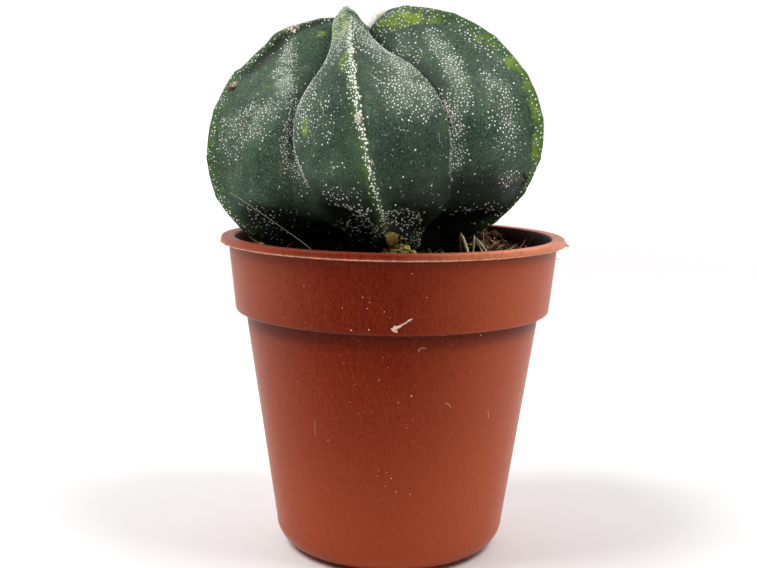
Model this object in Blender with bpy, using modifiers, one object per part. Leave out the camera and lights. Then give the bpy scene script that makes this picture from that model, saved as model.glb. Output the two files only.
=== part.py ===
"""A bishop's cap cactus, five ribs on one round stem, in its plastic nursery pot.

Metres, +Z up. The origin is the centre of the pot's underside, on the pot's axis, and the front
of the plant looks along -Y. The pot is a thin turned shell with a collar, a lip and drain holes.
It holds a body of soil, and the soil holds the stem in a nest cut to the stem's own underside.
"""

import math
import random

import bmesh
import bpy
from mathutils import Matrix, Vector, noise

MM = 0.001

# The pot: a nursery pot 55 mm across.
POT_HEIGHT = 51.0 * MM
LIP_RADIUS = 27.6 * MM
LIP_THICKNESS = 0.9 * MM
LIP_ROUND = 0.35 * MM
COLLAR_HEIGHT = 12.0 * MM
COLLAR_TOP_RADIUS = 26.4 * MM
COLLAR_BOTTOM_RADIUS = 25.3 * MM
BODY_TOP_RADIUS = 23.7 * MM
BODY_BOTTOM_RADIUS = 18.7 * MM
HEEL_RADIUS = 4.4 * MM
WALL = 0.9 * MM
STEP_DROP = 0.7 * MM
FOOT_INNER_RADIUS = 10.5 * MM
CENTRE_PAD_RADIUS = 4.5 * MM
FOOT_RELIEF = 0.9 * MM
DRAIN_COUNT = 6
DRAIN_RADIUS = 1.5 * MM
TURN_STEPS = 50

# The soil, which stands clear of the pot by the gap that two meshes keep.
GAP = 0.3 * MM
NEST_GAP = 0.55 * MM
NEST_SHARE = 0.25
NEST_RISE = 30.0 * MM
SOIL_LEVEL = 48.5 * MM
SOIL_LUMP = 0.9 * MM
SOIL_STEPS = 12
CRUMB_COUNT = 34
# Heaps of soil, as (x, y, rise, spread), in millimetres: two by the wall, one at the front rib.
HEAPS = ((16.0, 16.5, 2.0, 4.0), (-20.0, 7.0, 1.0, 4.5), (1.5, -15.0, 1.6, 2.6))

# The stem. Each rib's edge is a half ellipse whose centre lies off the stem's axis, so that the
# ribs rise above the sunken crown. The ribs turn a little as they climb.
RIB_COUNT = 5
HALF_PITCH = math.pi / RIB_COUNT
EDGE_OFFSET = 5.0 * MM
EDGE_HEIGHT = 16.3 * MM
EDGE_REACH = 22.4 * MM
EDGE_RISE = 22.0 * MM
EDGE_FALL = 16.3 * MM
EDGE_START = math.radians(-75.0)
EDGE_END = math.acos(-EDGE_OFFSET / EDGE_REACH)
CROWN_DIP = 1.5 * MM
WORN_DEPTH = 0.6 * MM
FRONT_RIB, RIGHT_RIB, LEFT_RIB = 0, 1, 4
# How far the left and the right rib stand out from the even edge, in millimetres up the stem.
LEFT_TRIM = (0.4, 0.5, 0.6, 0.5, 0.4, 0.4, 0.2, 0.3, 0.5, 0.2, 0.0)
RIGHT_TRIM = (-0.4, -0.6, -0.8, -1.0, -0.7, -0.3, -0.4, -0.3, -0.2, 0.0, 0.0)
# Up by the crown the front rib is fuller on its left and flat on its right. Its tip leans over to
# the left, and so does the furrow on that side.
FRONT_FULLNESS = 1.3
TIP_FLATNESS = 0.8
TIP_TURN = math.radians(-7.0)
FURROW_SHIFT = math.radians(-13.0)
# How much deeper the furrows beside the front rib are at the foot, where its neighbours overhang: the
# right one in full, and the left one by its share.
FURROW_TUCK = 5.6 * MM
LEFT_TUCK = 0.7
LEAN_LEFT = math.radians(6.8)
LEAN_BACK = math.radians(6.0)
STEM_TURN = math.radians(-5.4)
STEM_TWIST = math.radians(-10.0)
CROWN_TWIST = math.radians(-9.0)
STEM_FOOT = Vector((-0.1 * MM, 0.0, 48.0 * MM))
HALF_RIB_STEPS = 9
AREOLE_COUNT = 9
ARC_RINGS = 4 * AREOLE_COUNT
ROOT_RINGS = 4
KEEL_HEIGHT = 0.35 * MM
KEEL_SHARE = 0.10
AREOLE_HEIGHT = 0.35 * MM
FLECK_COUNT = 360
FLECK_WIDTH = 0.6 * MM
FLECK_HEIGHT = 0.25 * MM
SEED = 7

# The root and the furrow between two ribs, as (radius, height) up the stem, in millimetres.
ROOT_PATH = ((0.0, -9.6), (3.4, -8.2), (5.8, -4.4), (7.0, -1.4))
FURROW_PATH = (
    (13.2, 1.0),
    (14.8, 4.2),
    (16.9, 8.0),
    (18.6, 12.4),
    (18.9, 17.2),
    (17.2, 21.8),
    (13.2, 25.6),
    (8.0, 28.8),
    (4.0, 32.0),
    (1.6, 34.8),
    (0.0, 36.2),
)
# How far a rib's flank swells out of the straight line from its edge to the furrow, in
# millimetres, at the same eleven heights.
SWELL = (1.2, 1.8, 2.3, 2.6, 2.7, 2.6, 2.1, 1.4, 1.2, 1.2, 0.0)
# Each flank is pinched in over its foot, and some bulge below that, as (rib, side, share, across,
# length, width, slant, push out in millimetres). A form lies at a share of the rib's edge and at
# across, from the edge at 0 to the furrow at 1, and slant moves it across as the share grows.
FOOT_FORMS = (
    (0, -1, 0.145, 0.52, 0.095, 0.32, 0.0, -2.6),
    (0, -1, 0.050, 0.88, 0.050, 0.15, 0.0, 0.8),
    (0, 1, 0.160, 0.36, 0.050, 0.27, -1.5, -1.7),
    (0, 1, 0.075, 0.45, 0.035, 0.28, 0.0, 0.9),
    (4, 1, 0.185, 0.50, 0.090, 0.30, -1.5, -2.8),
    (4, 1, 0.080, 0.72, 0.070, 0.26, 0.0, -2.6),
    (1, -1, 0.090, 0.50, 0.080, 0.42, 0.0, -3.0),
    (1, 1, 0.150, 0.50, 0.070, 0.30, 0.0, -2.0),
    (2, -1, 0.140, 0.45, 0.060, 0.30, 1.0, -1.6),
    (2, 1, 0.160, 0.50, 0.080, 0.32, 0.0, -2.3),
    (3, -1, 0.150, 0.55, 0.065, 0.28, -1.0, -1.8),
    (3, 1, 0.140, 0.45, 0.075, 0.32, 0.0, -2.1),
    (4, -1, 0.160, 0.50, 0.070, 0.30, 1.0, -2.0),
)


def clear_scene():
    for obj in list(bpy.data.objects):
        bpy.data.objects.remove(obj, do_unlink=True)


def new_collection(name, shown=True):
    collection = bpy.data.collections.new(name)
    bpy.context.scene.collection.children.link(collection)
    collection.hide_render = not shown
    return collection


def new_material(name, colour, roughness):
    material = bpy.data.materials.new(name)
    material.use_nodes = True
    shader = material.node_tree.nodes["Principled BSDF"]
    shader.inputs["Base Color"].default_value = (*colour, 1.0)
    shader.inputs["Roughness"].default_value = roughness
    shader.inputs["Metallic"].default_value = 0.0
    return material


def object_from(bm, name, collection, material=None):
    """A new object that holds the bmesh, which is freed."""
    mesh = bpy.data.meshes.new(name)
    bm.to_mesh(mesh)
    bm.free()
    obj = bpy.data.objects.new(name, mesh)
    collection.objects.link(obj)
    if material:
        mesh.materials.append(material)
    return obj


def smooth(obj, angle=40.0):
    obj.data.shade_smooth()
    obj.data.set_sharp_from_angle(angle=math.radians(angle))


def as_cutter(obj):
    obj.hide_render = True
    obj.display_type = "WIRE"
    return obj


def apply_modifiers(obj):
    """Gives the object its evaluated mesh, and removes its modifiers."""
    graph = bpy.context.evaluated_depsgraph_get()
    mesh = bpy.data.meshes.new_from_object(obj.evaluated_get(graph))
    obj.modifiers.clear()
    obj.data = mesh
    return obj


def boolean(obj, operation, other=None, collection=None):
    """Joins or cuts obj by another object, or by a whole collection, and applies the result."""
    modifier = obj.modifiers.new(operation.lower(), "BOOLEAN")
    modifier.operation = operation
    modifier.solver = "EXACT"
    if collection:
        modifier.operand_type = "COLLECTION"
        modifier.collection = collection
    else:
        modifier.object = other
    return apply_modifiers(obj)


def turned(name, profile, collection, material):
    """A profile of (radius, height), down its outer side, turned once round the Z axis."""
    bm = bmesh.new()
    verts = [bm.verts.new((radius, 0.0, height)) for radius, height in profile]
    for a, b in zip(verts, verts[1:]):
        bm.edges.new((a, b))
    obj = object_from(bm, name, collection, material)
    screw = obj.modifiers.new("turn", "SCREW")
    screw.axis = "Z"
    screw.angle = math.tau
    screw.steps = TURN_STEPS
    screw.render_steps = TURN_STEPS
    screw.use_merge_vertices = True
    screw.merge_threshold = 0.00001
    return apply_modifiers(obj)


def arc(centre, radius, start, end, steps):
    """Points of (radius, height) along an arc, with the angles in degrees."""
    points = []
    for i in range(steps + 1):
        angle = math.radians(start + (end - start) * i / steps)
        points.append((centre[0] + radius * math.cos(angle), centre[1] + radius * math.sin(angle)))
    return points


def body_radius(height):
    """The outer radius of the pot's tapered body."""
    top = POT_HEIGHT - COLLAR_HEIGHT
    share = (height - HEEL_RADIUS) / (top - HEEL_RADIUS)
    return BODY_BOTTOM_RADIUS + (BODY_TOP_RADIUS - BODY_BOTTOM_RADIUS) * share


def pot_profile():
    """The pot's section: up the inside from the floor's centre, over the lip, down the outside."""
    collar_foot = POT_HEIGHT - COLLAR_HEIGHT
    heel_centre = (BODY_BOTTOM_RADIUS - HEEL_RADIUS, HEEL_RADIUS)
    inside = [
        (0.0, WALL),
        (CENTRE_PAD_RADIUS - WALL, WALL),
        (CENTRE_PAD_RADIUS, WALL + FOOT_RELIEF),
        (FOOT_INNER_RADIUS, WALL + FOOT_RELIEF),
        (FOOT_INNER_RADIUS + WALL, WALL),
    ]
    inside += arc(heel_centre, HEEL_RADIUS - WALL, -90, 0, 4)
    inside += [
        (BODY_TOP_RADIUS - WALL, collar_foot - 0.5 * STEP_DROP),
        (COLLAR_BOTTOM_RADIUS - WALL, collar_foot + WALL),
        (COLLAR_TOP_RADIUS - WALL, POT_HEIGHT - LIP_ROUND),
        (COLLAR_TOP_RADIUS - WALL + LIP_ROUND, POT_HEIGHT),
    ]
    outside = [
        (LIP_RADIUS - LIP_ROUND, POT_HEIGHT),
        (LIP_RADIUS, POT_HEIGHT - LIP_ROUND),
        (LIP_RADIUS, POT_HEIGHT - LIP_THICKNESS),
        (COLLAR_TOP_RADIUS, POT_HEIGHT - LIP_THICKNESS - LIP_ROUND),
        (COLLAR_BOTTOM_RADIUS, collar_foot + STEP_DROP),
        (COLLAR_BOTTOM_RADIUS - STEP_DROP, collar_foot),
        (BODY_TOP_RADIUS, collar_foot - 0.1 * MM),
    ]
    outside += arc(heel_centre, HEEL_RADIUS, 0, -90, 6)
    outside += [
        (FOOT_INNER_RADIUS, 0.0),
        (FOOT_INNER_RADIUS, FOOT_RELIEF),
        (CENTRE_PAD_RADIUS, FOOT_RELIEF),
        (CENTRE_PAD_RADIUS, 0.0),
        (0.0, 0.0),
    ]
    return inside + outside


def build_pot(part, cutters):
    plastic = new_material("pot_plastic", (0.33, 0.075, 0.035), 0.42)
    pot = turned("pot", pot_profile(), part, plastic)
    ring = 0.5 * (CENTRE_PAD_RADIUS + FOOT_INNER_RADIUS)
    drains = bmesh.new()
    for i in range(DRAIN_COUNT):
        angle = math.tau * (i + 0.5) / DRAIN_COUNT
        place = Matrix.Translation((ring * math.cos(angle), ring * math.sin(angle), WALL))
        bmesh.ops.create_cone(
            drains,
            cap_ends=True,
            segments=16,
            radius1=DRAIN_RADIUS,
            radius2=DRAIN_RADIUS,
            depth=6.0 * MM,
            matrix=place,
        )
    cutter = as_cutter(object_from(drains, "drain_cutter", cutters))
    boolean(pot, "DIFFERENCE", cutter)
    smooth(pot)
    return pot


def along(path, share):
    """A smooth curve through evenly spaced values, or pairs of them, read at a share of its length."""
    last = len(path) - 1
    at = min(max(share, 0.0), 1.0) * last
    i = min(int(at), last - 1)
    u = at - i
    rows = [path[max(i - 1, 0)], path[i], path[i + 1], path[min(i + 2, last)]]
    if not isinstance(rows[0], tuple):
        rows = [(row,) for row in rows]
    values = []
    for before, a, b, after in zip(*rows):
        values.append(
            a
            + 0.5 * u * (b - before)
            + u * u * (before - 2.5 * a + 2.0 * b - 0.5 * after)
            + u * u * u * (0.5 * (after - before) + 1.5 * (a - b))
        )
    return values


def ramp(value, low, high):
    """0 below low and 1 above high, with a smooth step between; high may be the lower one."""
    u = min(max((value - low) / (high - low), 0.0), 1.0)
    return u * u * (3.0 - 2.0 * u)


def edge_point(share, rib):
    """(radius, height) of a rib's edge, from its foot at 0 to the crown at 1."""
    angle = EDGE_START + (EDGE_END - EDGE_START) * share
    trim = 0.0
    if rib == LEFT_RIB:
        # The left rib's shoulder is worn back, from an old scar upwards.
        worn = WORN_DEPTH * ramp(share, 0.65, 0.67) * ramp(share, 0.80, 0.74)
        trim = along(LEFT_TRIM, share)[0] * MM - worn
    elif rib == RIGHT_RIB:
        trim = along(RIGHT_TRIM, share)[0] * MM
    rise = EDGE_RISE if angle > 0.0 else EDGE_FALL
    return (
        EDGE_OFFSET + (EDGE_REACH + trim) * math.cos(angle),
        EDGE_HEIGHT + (rise + trim) * math.sin(angle) - CROWN_DIP * ramp(share, 0.93, 1.0),
    )


def polar(radius, turn, height):
    return Vector((radius * math.cos(turn), radius * math.sin(turn), height))


def furrow_shift(share, rib, side):
    """How far a furrow lies from the middle between its ribs."""
    if (rib, side) in ((FRONT_RIB, -1.0), (LEFT_RIB, 1.0)):
        return FURROW_SHIFT * ramp(share, 0.58, 0.80)
    return 0.0


def flank_point(share, across, centre, side, rib):
    """A point of the plain ruled flank, from the rib's edge at across 0 to the furrow at 1."""
    radius, height = edge_point(share, rib)
    lean = TIP_TURN * ramp(share, 0.74, 0.85) if rib == FRONT_RIB else 0.0
    deep, low = (value * MM for value in along(FURROW_PATH, share))
    tuck = FURROW_TUCK * math.exp(-((share / 0.13) ** 4))
    if (rib, side) in ((FRONT_RIB, 1.0), (RIGHT_RIB, -1.0)):
        deep -= tuck
    elif (rib, side) in ((FRONT_RIB, -1.0), (LEFT_RIB, 1.0)):
        deep -= LEFT_TUCK * tuck
    furrow = polar(deep, centre + side * HALF_PITCH + furrow_shift(share, rib, side), low)
    return polar(radius, centre + lean, height).lerp(furrow, across)


def surface_normal(share, across, centre, side, rib):
    """The way out of the surface: the flank's own, turned into the rib's plane along its edge."""
    step = 0.01
    low, high = max(share - step, 0.0), min(share + step, 1.0)
    near, far = max(across - step, 0.0), min(across + step, 1.0)
    up = flank_point(high, across, centre, side, rib) - flank_point(low, across, centre, side, rib)
    out = flank_point(share, far, centre, side, rib) - flank_point(share, near, centre, side, rib)
    flank = (out.cross(up) * side).normalized()
    rise = [b - a for a, b in zip(edge_point(low, rib), edge_point(high, rib))]
    edge = polar(rise[1], centre, -rise[0]).normalized()
    return flank.lerp(edge, max(1.0 - across / KEEL_SHARE, 0.0)).normalized()


def swell_shape(share, across):
    """The swell's rise over a flank: slow from the edge, full near the furrow, and steep into it."""
    rise, fall = 1.5 - 0.9 * ramp(share, 0.75, 0.90), 0.55 + 0.75 * ramp(share, 0.42, 0.22)
    peak = rise / (rise + fall)
    top = peak**rise * (1.0 - peak) ** fall
    return across**rise * (1.0 - across) ** fall / top


def foot_form(share, across, rib, side):
    """How far the rows' forms push a flank out over its foot."""
    total = 0.0
    for row_rib, row_side, row_share, row_across, length, width, slant, push in FOOT_FORMS:
        if (rib, side) == (row_rib, row_side):
            middle = row_across + slant * (share - row_share)
            away = ((share - row_share) / length) ** 2 + ((across - middle) / width) ** 2
            total += push * MM * math.exp(-away * away)
    return total


def keel_rise(share, across):
    """The keel along a rib's edge, with the row of areoles that stands on it."""
    fade = min(share / 0.08, (1.0 - share) / 0.08, 1.0)
    areole = max(math.cos(math.tau * AREOLE_COUNT * share), 0.0) ** 3
    return max(1.0 - across / KEEL_SHARE, 0.0) * (KEEL_HEIGHT + AREOLE_HEIGHT * areole) * fade


def stem_point(turn, share, offset=0.0):
    """A point of the stem's surface, at an angle round its axis and a share of its height."""
    if share > 0.999:
        return Vector((0.0, 0.0, edge_point(1.0, 0)[1] + offset))
    rib = round(turn / (2.0 * HALF_PITCH))
    centre = rib * 2.0 * HALF_PITCH
    side = 1.0 if turn >= centre else -1.0
    rib %= RIB_COUNT
    across = across_share(turn)
    centre += STEM_TWIST * (share - 0.6) + CROWN_TWIST * ramp(share, 0.75, 0.95)
    swell = along(SWELL, share)[0] * MM * swell_shape(share, across)
    if rib == FRONT_RIB and side < 0.0:
        swell *= 1.0 + FRONT_FULLNESS * ramp(share, 0.62, 0.82)
    elif rib == FRONT_RIB:
        swell *= 1.0 - TIP_FLATNESS * ramp(share, 0.62, 0.80)
    rise = swell + foot_form(share, across, rib, side) + keel_rise(share, across) + offset
    point = flank_point(share, across, centre, side, rib)
    point += surface_normal(share, across, centre, side, rib) * rise
    # A rib stays on its own side of the furrow, where its neighbour's flank meets it.
    away = side * (math.atan2(point.y, point.x) - centre)
    away = (away + math.pi) % math.tau - math.pi
    room = HALF_PITCH + side * furrow_shift(share, rib, side)
    away = min(away, room * (1.0 - 0.04 * (1.0 - across)))
    return polar(math.hypot(point.x, point.y), centre + side * away, point.z)


def across_share(turn):
    """How far an angle round the stem lies from its rib's edge at 0 towards the furrow at 1."""
    even = abs(turn / HALF_PITCH - 2.0 * round(0.5 * turn / HALF_PITCH))
    return min(even - 0.095 * math.sin(math.tau * even), 1.0)


def stem_mesh(upper_point):
    """A sphere whose lower rings are moved to the root, and the others to upper_point's answers."""
    rings = ROOT_RINGS + ARC_RINGS
    bm = bmesh.new()
    bmesh.ops.create_uvsphere(
        bm, u_segments=2 * HALF_RIB_STEPS * RIB_COUNT, v_segments=rings, radius=1.0
    )
    shares = {}
    for vert in bm.verts:
        ring = round(rings * (1.0 - math.acos(min(max(vert.co.z, -1.0), 1.0)) / math.pi))
        turn = math.atan2(vert.co.y, vert.co.x) % math.tau
        if ring < ROOT_RINGS:
            radius, height = (value * MM for value in ROOT_PATH[ring])
            vert.co = polar(radius, turn, height)
        else:
            share = (ring - ROOT_RINGS) / ARC_RINGS
            vert.co = upper_point(turn, share)
            shares[vert] = (share, across_share(turn))
    return bm, shares


def raise_flecks(bm, shares):
    """Raises a small pad on some of the stem's faces, most of them by the ribs' edges and furrows."""
    draw = random.Random(SEED)
    ranked = []
    for face in bm.faces:
        if len(face.verts) < 4 or not all(vert in shares for vert in face.verts):
            continue
        share = sum(shares[vert][0] for vert in face.verts) / 4.0
        across = sum(shares[vert][1] for vert in face.verts) / 4.0
        if 0.06 < share < 0.88 - 0.25 * across and across < 0.85:
            weight = 1.0 + 2.0 * math.exp(-((across / 0.15) ** 2)) + ramp(across, 0.4, 0.8)
            ranked.append((draw.random() ** (1.0 / weight), face))
    ranked.sort(key=lambda pair: pair[0], reverse=True)
    chosen, taken = [], set()
    for _, face in ranked:
        if len(chosen) < FLECK_COUNT and not taken & set(face.verts):
            chosen.append(face)
            taken |= set(face.verts)
    for face in chosen:
        narrow = min(edge.calc_length() for edge in face.edges)
        margin = 0.5 * max(narrow - FLECK_WIDTH, 0.3 * narrow)
        bmesh.ops.inset_individual(bm, faces=[face], thickness=margin, depth=FLECK_HEIGHT)


def build_stem(part, frame):
    """The stem in one piece with its root, its keels, its areoles and its flecks."""
    bm, shares = stem_mesh(stem_point)
    raise_flecks(bm, shares)
    skin = new_material("stem_skin", (0.030, 0.065, 0.040), 0.55)
    stem = object_from(bm, "stem", part, skin)
    stem.parent = frame
    smooth(stem, 60.0)
    return stem


def build_nest(cutters, frame):
    """The hole for the stem in the soil: the stem's underside a gap larger, and straight walls above."""

    def point(turn, share):
        if share > 0.999:
            return Vector((0.0, 0.0, NEST_RISE))
        place = stem_point(turn, min(share, NEST_SHARE), NEST_GAP)
        place.z += max(share - NEST_SHARE, 0.0) * NEST_RISE
        return place

    bm = stem_mesh(point)[0]
    for vert in bm.verts:
        if vert.co.z < 0.0:
            vert.co += NEST_GAP * vert.co.normalized()
    nest = as_cutter(object_from(bm, "nest_cutter", cutters))
    nest.parent = frame
    bpy.context.view_layer.update()
    return nest


def soil_profile():
    """The soil's section: its top from the axis to the wall, then down the wall to the pot's floor."""
    collar_foot = POT_HEIGHT - COLLAR_HEIGHT
    inset = WALL + 1.2 * GAP
    heel_top = HEEL_RADIUS + 2.0 * MM
    floor = WALL + FOOT_RELIEF + GAP
    top = [(SOIL_RADIUS * i / SOIL_STEPS, SOIL_LEVEL) for i in range(SOIL_STEPS + 1)]
    side = [
        (COLLAR_BOTTOM_RADIUS - inset, collar_foot + 2.0 * WALL),
        (BODY_TOP_RADIUS - inset, collar_foot - STEP_DROP),
        (body_radius(heel_top) - inset, heel_top),
        (BODY_BOTTOM_RADIUS - 0.8 * HEEL_RADIUS, floor),
        (0.0, floor),
    ]
    return top + side


def wall_radius(height):
    """The inner radius of the pot's collar."""
    collar_foot = POT_HEIGHT - COLLAR_HEIGHT
    share = (height - collar_foot) / COLLAR_HEIGHT
    return COLLAR_BOTTOM_RADIUS + (COLLAR_TOP_RADIUS - COLLAR_BOTTOM_RADIUS) * share - WALL


SOIL_RADIUS = wall_radius(SOIL_LEVEL) - GAP


def soil_height(x, y):
    """The soil's lumpy top, lower along the pot's wall."""
    place = Vector((x, y, 0.0)) / (6.0 * MM)
    lumps = noise.noise(place) + 0.5 * noise.noise(place * 2.3)
    edge = math.hypot(x, y) / SOIL_RADIUS
    height = SOIL_LEVEL + SOIL_LUMP * (lumps - 1.1 * edge**4)
    for heap_x, heap_y, rise, spread in HEAPS:
        away = math.hypot(x / MM - heap_x, y / MM - heap_y) / spread
        height += rise * MM * math.exp(-away * away)
    return height


def build_soil(part, nest):
    peat = new_material("soil_peat", (0.030, 0.019, 0.012), 0.95)
    soil = turned("soil", soil_profile(), part, peat)
    for vert in soil.data.vertices:
        if vert.co.z > SOIL_LEVEL - 0.01 * MM:
            vert.co.z = soil_height(vert.co.x, vert.co.y)
    draw = random.Random(SEED + 1)
    crumbs = new_collection("crumbs")
    for i in range(CRUMB_COUNT):
        angle = draw.uniform(0.0, math.tau)
        reach = draw.uniform(14.0 * MM, SOIL_RADIUS - 2.6 * MM)
        size = draw.uniform(0.8, 1.7) * MM
        x, y = reach * math.cos(angle), reach * math.sin(angle)
        bm = bmesh.new()
        place = (
            Matrix.Translation((x, y, soil_height(x, y) + 0.1 * size))
            @ Matrix.Rotation(draw.uniform(0.0, math.tau), 4, "Z")
            @ Matrix.Rotation(draw.uniform(-0.5, 0.5), 4, "X")
            @ Matrix.Diagonal((size * draw.uniform(0.7, 1.5), size, size * draw.uniform(0.5, 0.9), 1.0))
        )
        bmesh.ops.create_icosphere(bm, subdivisions=1, radius=1.0, matrix=place)
        object_from(bm, f"crumb_{i:02d}", crumbs)
    boolean(soil, "UNION", collection=crumbs)
    for crumb in list(crumbs.objects):
        bpy.data.objects.remove(crumb, do_unlink=True)
    bpy.data.collections.remove(crumbs)
    boolean(soil, "DIFFERENCE", nest)
    keep_largest(soil)
    smooth(soil, 50.0)
    return soil


def keep_largest(obj):
    """Drops the loose scraps that a cut leaves, so that the object is one body."""
    bm = bmesh.new()
    bm.from_mesh(obj.data)
    left = set(bm.verts)
    bodies = []
    while left:
        body, queue = set(), [left.pop()]
        while queue:
            vert = queue.pop()
            body.add(vert)
            for edge in vert.link_edges:
                other = edge.other_vert(vert)
                if other in left:
                    left.remove(other)
                    queue.append(other)
        bodies.append(body)
    bodies.sort(key=len)
    scraps = [vert for body in bodies[:-1] for vert in body]
    bmesh.ops.delete(bm, geom=scraps, context="VERTS")
    bm.to_mesh(obj.data)
    bm.free()


def main():
    clear_scene()
    part = new_collection("potted_bishops_cap")
    cutters = new_collection("cutters", shown=False)
    build_pot(part, cutters)
    frame = bpy.data.objects.new("stem_frame", None)
    part.objects.link(frame)
    frame.matrix_world = (
        Matrix.Translation(STEM_FOOT)
        @ Matrix.Rotation(-LEAN_LEFT, 4, "Y")
        @ Matrix.Rotation(-LEAN_BACK, 4, "X")
        @ Matrix.Rotation(STEM_TURN - 0.5 * math.pi, 4, "Z")
    )
    build_stem(part, frame)
    build_soil(part, build_nest(cutters, frame))


main()
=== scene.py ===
"""The looks of the potted bishop's cap cactus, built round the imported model.

Metres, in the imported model's frame: the pot stands on z = 0 with its axis on the origin, and the
plant's front looks along -Y. Finer meshes of the same form stand for the pot, the soil and the
stem. The flecks, the wool, the scars, the loose soil, the fibres and the dust sit on them.
"""

import math

import bmesh
import bpy
import numpy as np
from mathutils import Matrix, Vector, noise
from mathutils.kdtree import KDTree


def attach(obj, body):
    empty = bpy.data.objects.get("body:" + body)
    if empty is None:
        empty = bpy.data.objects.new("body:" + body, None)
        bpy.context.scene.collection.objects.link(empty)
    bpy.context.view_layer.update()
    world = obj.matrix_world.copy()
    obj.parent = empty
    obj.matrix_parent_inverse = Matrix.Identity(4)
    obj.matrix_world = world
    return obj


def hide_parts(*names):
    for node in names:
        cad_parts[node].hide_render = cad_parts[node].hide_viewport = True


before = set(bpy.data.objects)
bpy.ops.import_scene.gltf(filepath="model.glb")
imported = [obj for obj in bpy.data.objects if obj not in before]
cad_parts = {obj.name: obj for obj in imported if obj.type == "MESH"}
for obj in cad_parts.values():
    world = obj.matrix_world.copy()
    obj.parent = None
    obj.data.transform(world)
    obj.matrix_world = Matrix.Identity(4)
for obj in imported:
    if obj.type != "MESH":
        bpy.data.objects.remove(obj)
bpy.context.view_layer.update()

MM = 0.001
SEED = 20

# The camera, fitted to the photograph: its place, its pitch down, its turn and its roll.
IMAGE_WIDTH = 757
SENSOR_WIDTH = 36.0
FOCAL_PIXELS = 1151.3
CAMERA_PLACE = Vector((0.0, -186.25 * MM, 69.88 * MM))
CAMERA_PITCH = 0.1441
CAMERA_YAW = 0.012
CAMERA_ROLL = -0.0121

# The room's light in front of the plant and behind it, and the two soft lights.
ROOM_FRONT = 0.02
ROOM_BACK = 0.95
LEFT_POWER = 6.4
RIGHT_POWER = 5.0
LIGHT_SIZE = 0.4
LIGHT_PLACE = Vector((0.46, -0.18, 0.78))
LIGHT_AIM = Vector((0.0, 0.0, 50.0 * MM))

# The floor brightens to the room's own white between these distances from the pot.
FLOOR_SIZE = 6.0
FLOOR_NEAR = 280.0 * MM
FLOOR_FAR = 1100.0 * MM
FLOOR_COLOUR = (0.8, 0.785, 0.785, 1.0)
WHITE = (1.0, 1.0, 1.0, 1.0)

# The pot's sizes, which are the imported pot's own.
POT_HEIGHT = 51.0 * MM
LIP_RADIUS = 27.6 * MM
LIP_THICKNESS = 0.9 * MM
COLLAR_HEIGHT = 12.0 * MM
COLLAR_TOP_RADIUS = 26.4 * MM
COLLAR_BOTTOM_RADIUS = 25.3 * MM
BODY_TOP_RADIUS = 23.7 * MM
BODY_BOTTOM_RADIUS = 18.7 * MM
HEEL_RADIUS = 4.4 * MM
WALL = 0.9 * MM
STEP_DROP = 0.7 * MM
FOOT_INNER_RADIUS = 10.5 * MM
CENTRE_PAD_RADIUS = 4.5 * MM
FOOT_RELIEF = 0.9 * MM
DRAIN_COUNT = 6
DRAIN_RADIUS = 1.5 * MM
DRAIN_DEPTH = 6.0 * MM
LIP_ROUND = 0.4 * MM
EDGE_ROUND = 0.3 * MM
POT_COLUMNS = 320
POT_STEP = 1.2 * MM
OUT_OF_TRUE = 0.07 * MM
# The inside is painted dark as shade up to this many rings before the lip's outermost.
INSIDE_SHADE_START = 8
# The thin ragged flash under the lip's outer edge, and the one place where it bulges out.
FLASH_REACH = 0.16 * MM
FLASH_HEIGHT = 0.12 * MM
FLASH_BULGE = 0.75 * MM
FLASH_BULGE_AT = math.radians(84.0)
FLASH_BULGE_WIDTH = math.radians(5.0)

# Marks on the pot's wall, at degrees round from the front and heights in millimetres. Dust, as
# (degrees, height, size, tint), the scuff with its torn flake, and scratches.
DUST = (
    (-9.2, 44.6, 0.1, 0.8), (-7.1, 43.9, 0.08, 0.8), (-7.8, 43.0, 0.09, 0.7), (-2.4, 42.6, 0.1, 0.9),
    (11.0, 44.7, 0.1, 0.8), (33.8, 38.3, 0.16, 0.9), (-13.2, 39.7, 0.12, 0.9), (-7.3, 39.9, 0.12, 0.9),
    (7.8, 29.6, 0.11, 0.9), (10.0, 36.5, 0.1, 0.8), (-2.9, 35.5, 0.09, 0.9), (-4.2, 32.0, 0.1, 0.9),
    (3.0, 28.6, 0.1, 0.9), (-28.1, 50.0, 0.14, 0.1), (43.3, 49.1, 0.16, 0.2), (-1.0, 34.0, 0.08, 1.0),
    (-20.0, 38.9, 0.12, 0.9), (4.0, 38.9, 0.12, 0.9), (18.0, 38.8, 0.12, 0.9), (26.0, 46.0, 0.07, 0.8),
)
DUST_COUNT = 170
SCUFF_START = (0.9, 40.1)
SCUFF_TURN = 5.6
SCUFF_RISE = 1.5
SCUFF_GRAINS = 26
# Each scratch, as (degrees, height, turn, rise, width, tint).
WALL_SCRATCHES = (
    (-3.7, 46.9, 0.3, 1.3, 0.1, 0.05),
    (9.5, 36.6, 2.8, 0.2, 0.06, 0.95),
    (21.5, 28.2, 2.6, -0.9, 0.06, 0.9),
    (42.2, 26.2, 1.4, -1.6, 0.1, 0.9),
    (-32.0, 22.0, 0.6, 3.0, 0.05, 0.7),
    (60.0, 30.0, 1.0, 4.0, 0.05, 0.7),
    (150.0, 33.0, 4.0, 1.5, 0.08, 0.9),
    (-140.0, 24.0, -2.0, 3.0, 0.07, 0.8),
    (200.0, 44.0, 5.0, 0.4, 0.07, 0.9),
)

# The soil's level and its heaps, as (x, y, rise, spread) in millimetres. The last heap is pale.
GAP = 0.3 * MM
SOIL_LEVEL = 48.5 * MM
SOIL_LUMP = 0.9 * MM
SOIL_RINGS = 130
SOIL_COLUMNS = 330
PIT_RADIUS = 9.0 * MM
PIT_FLOOR = 36.5 * MM
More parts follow.
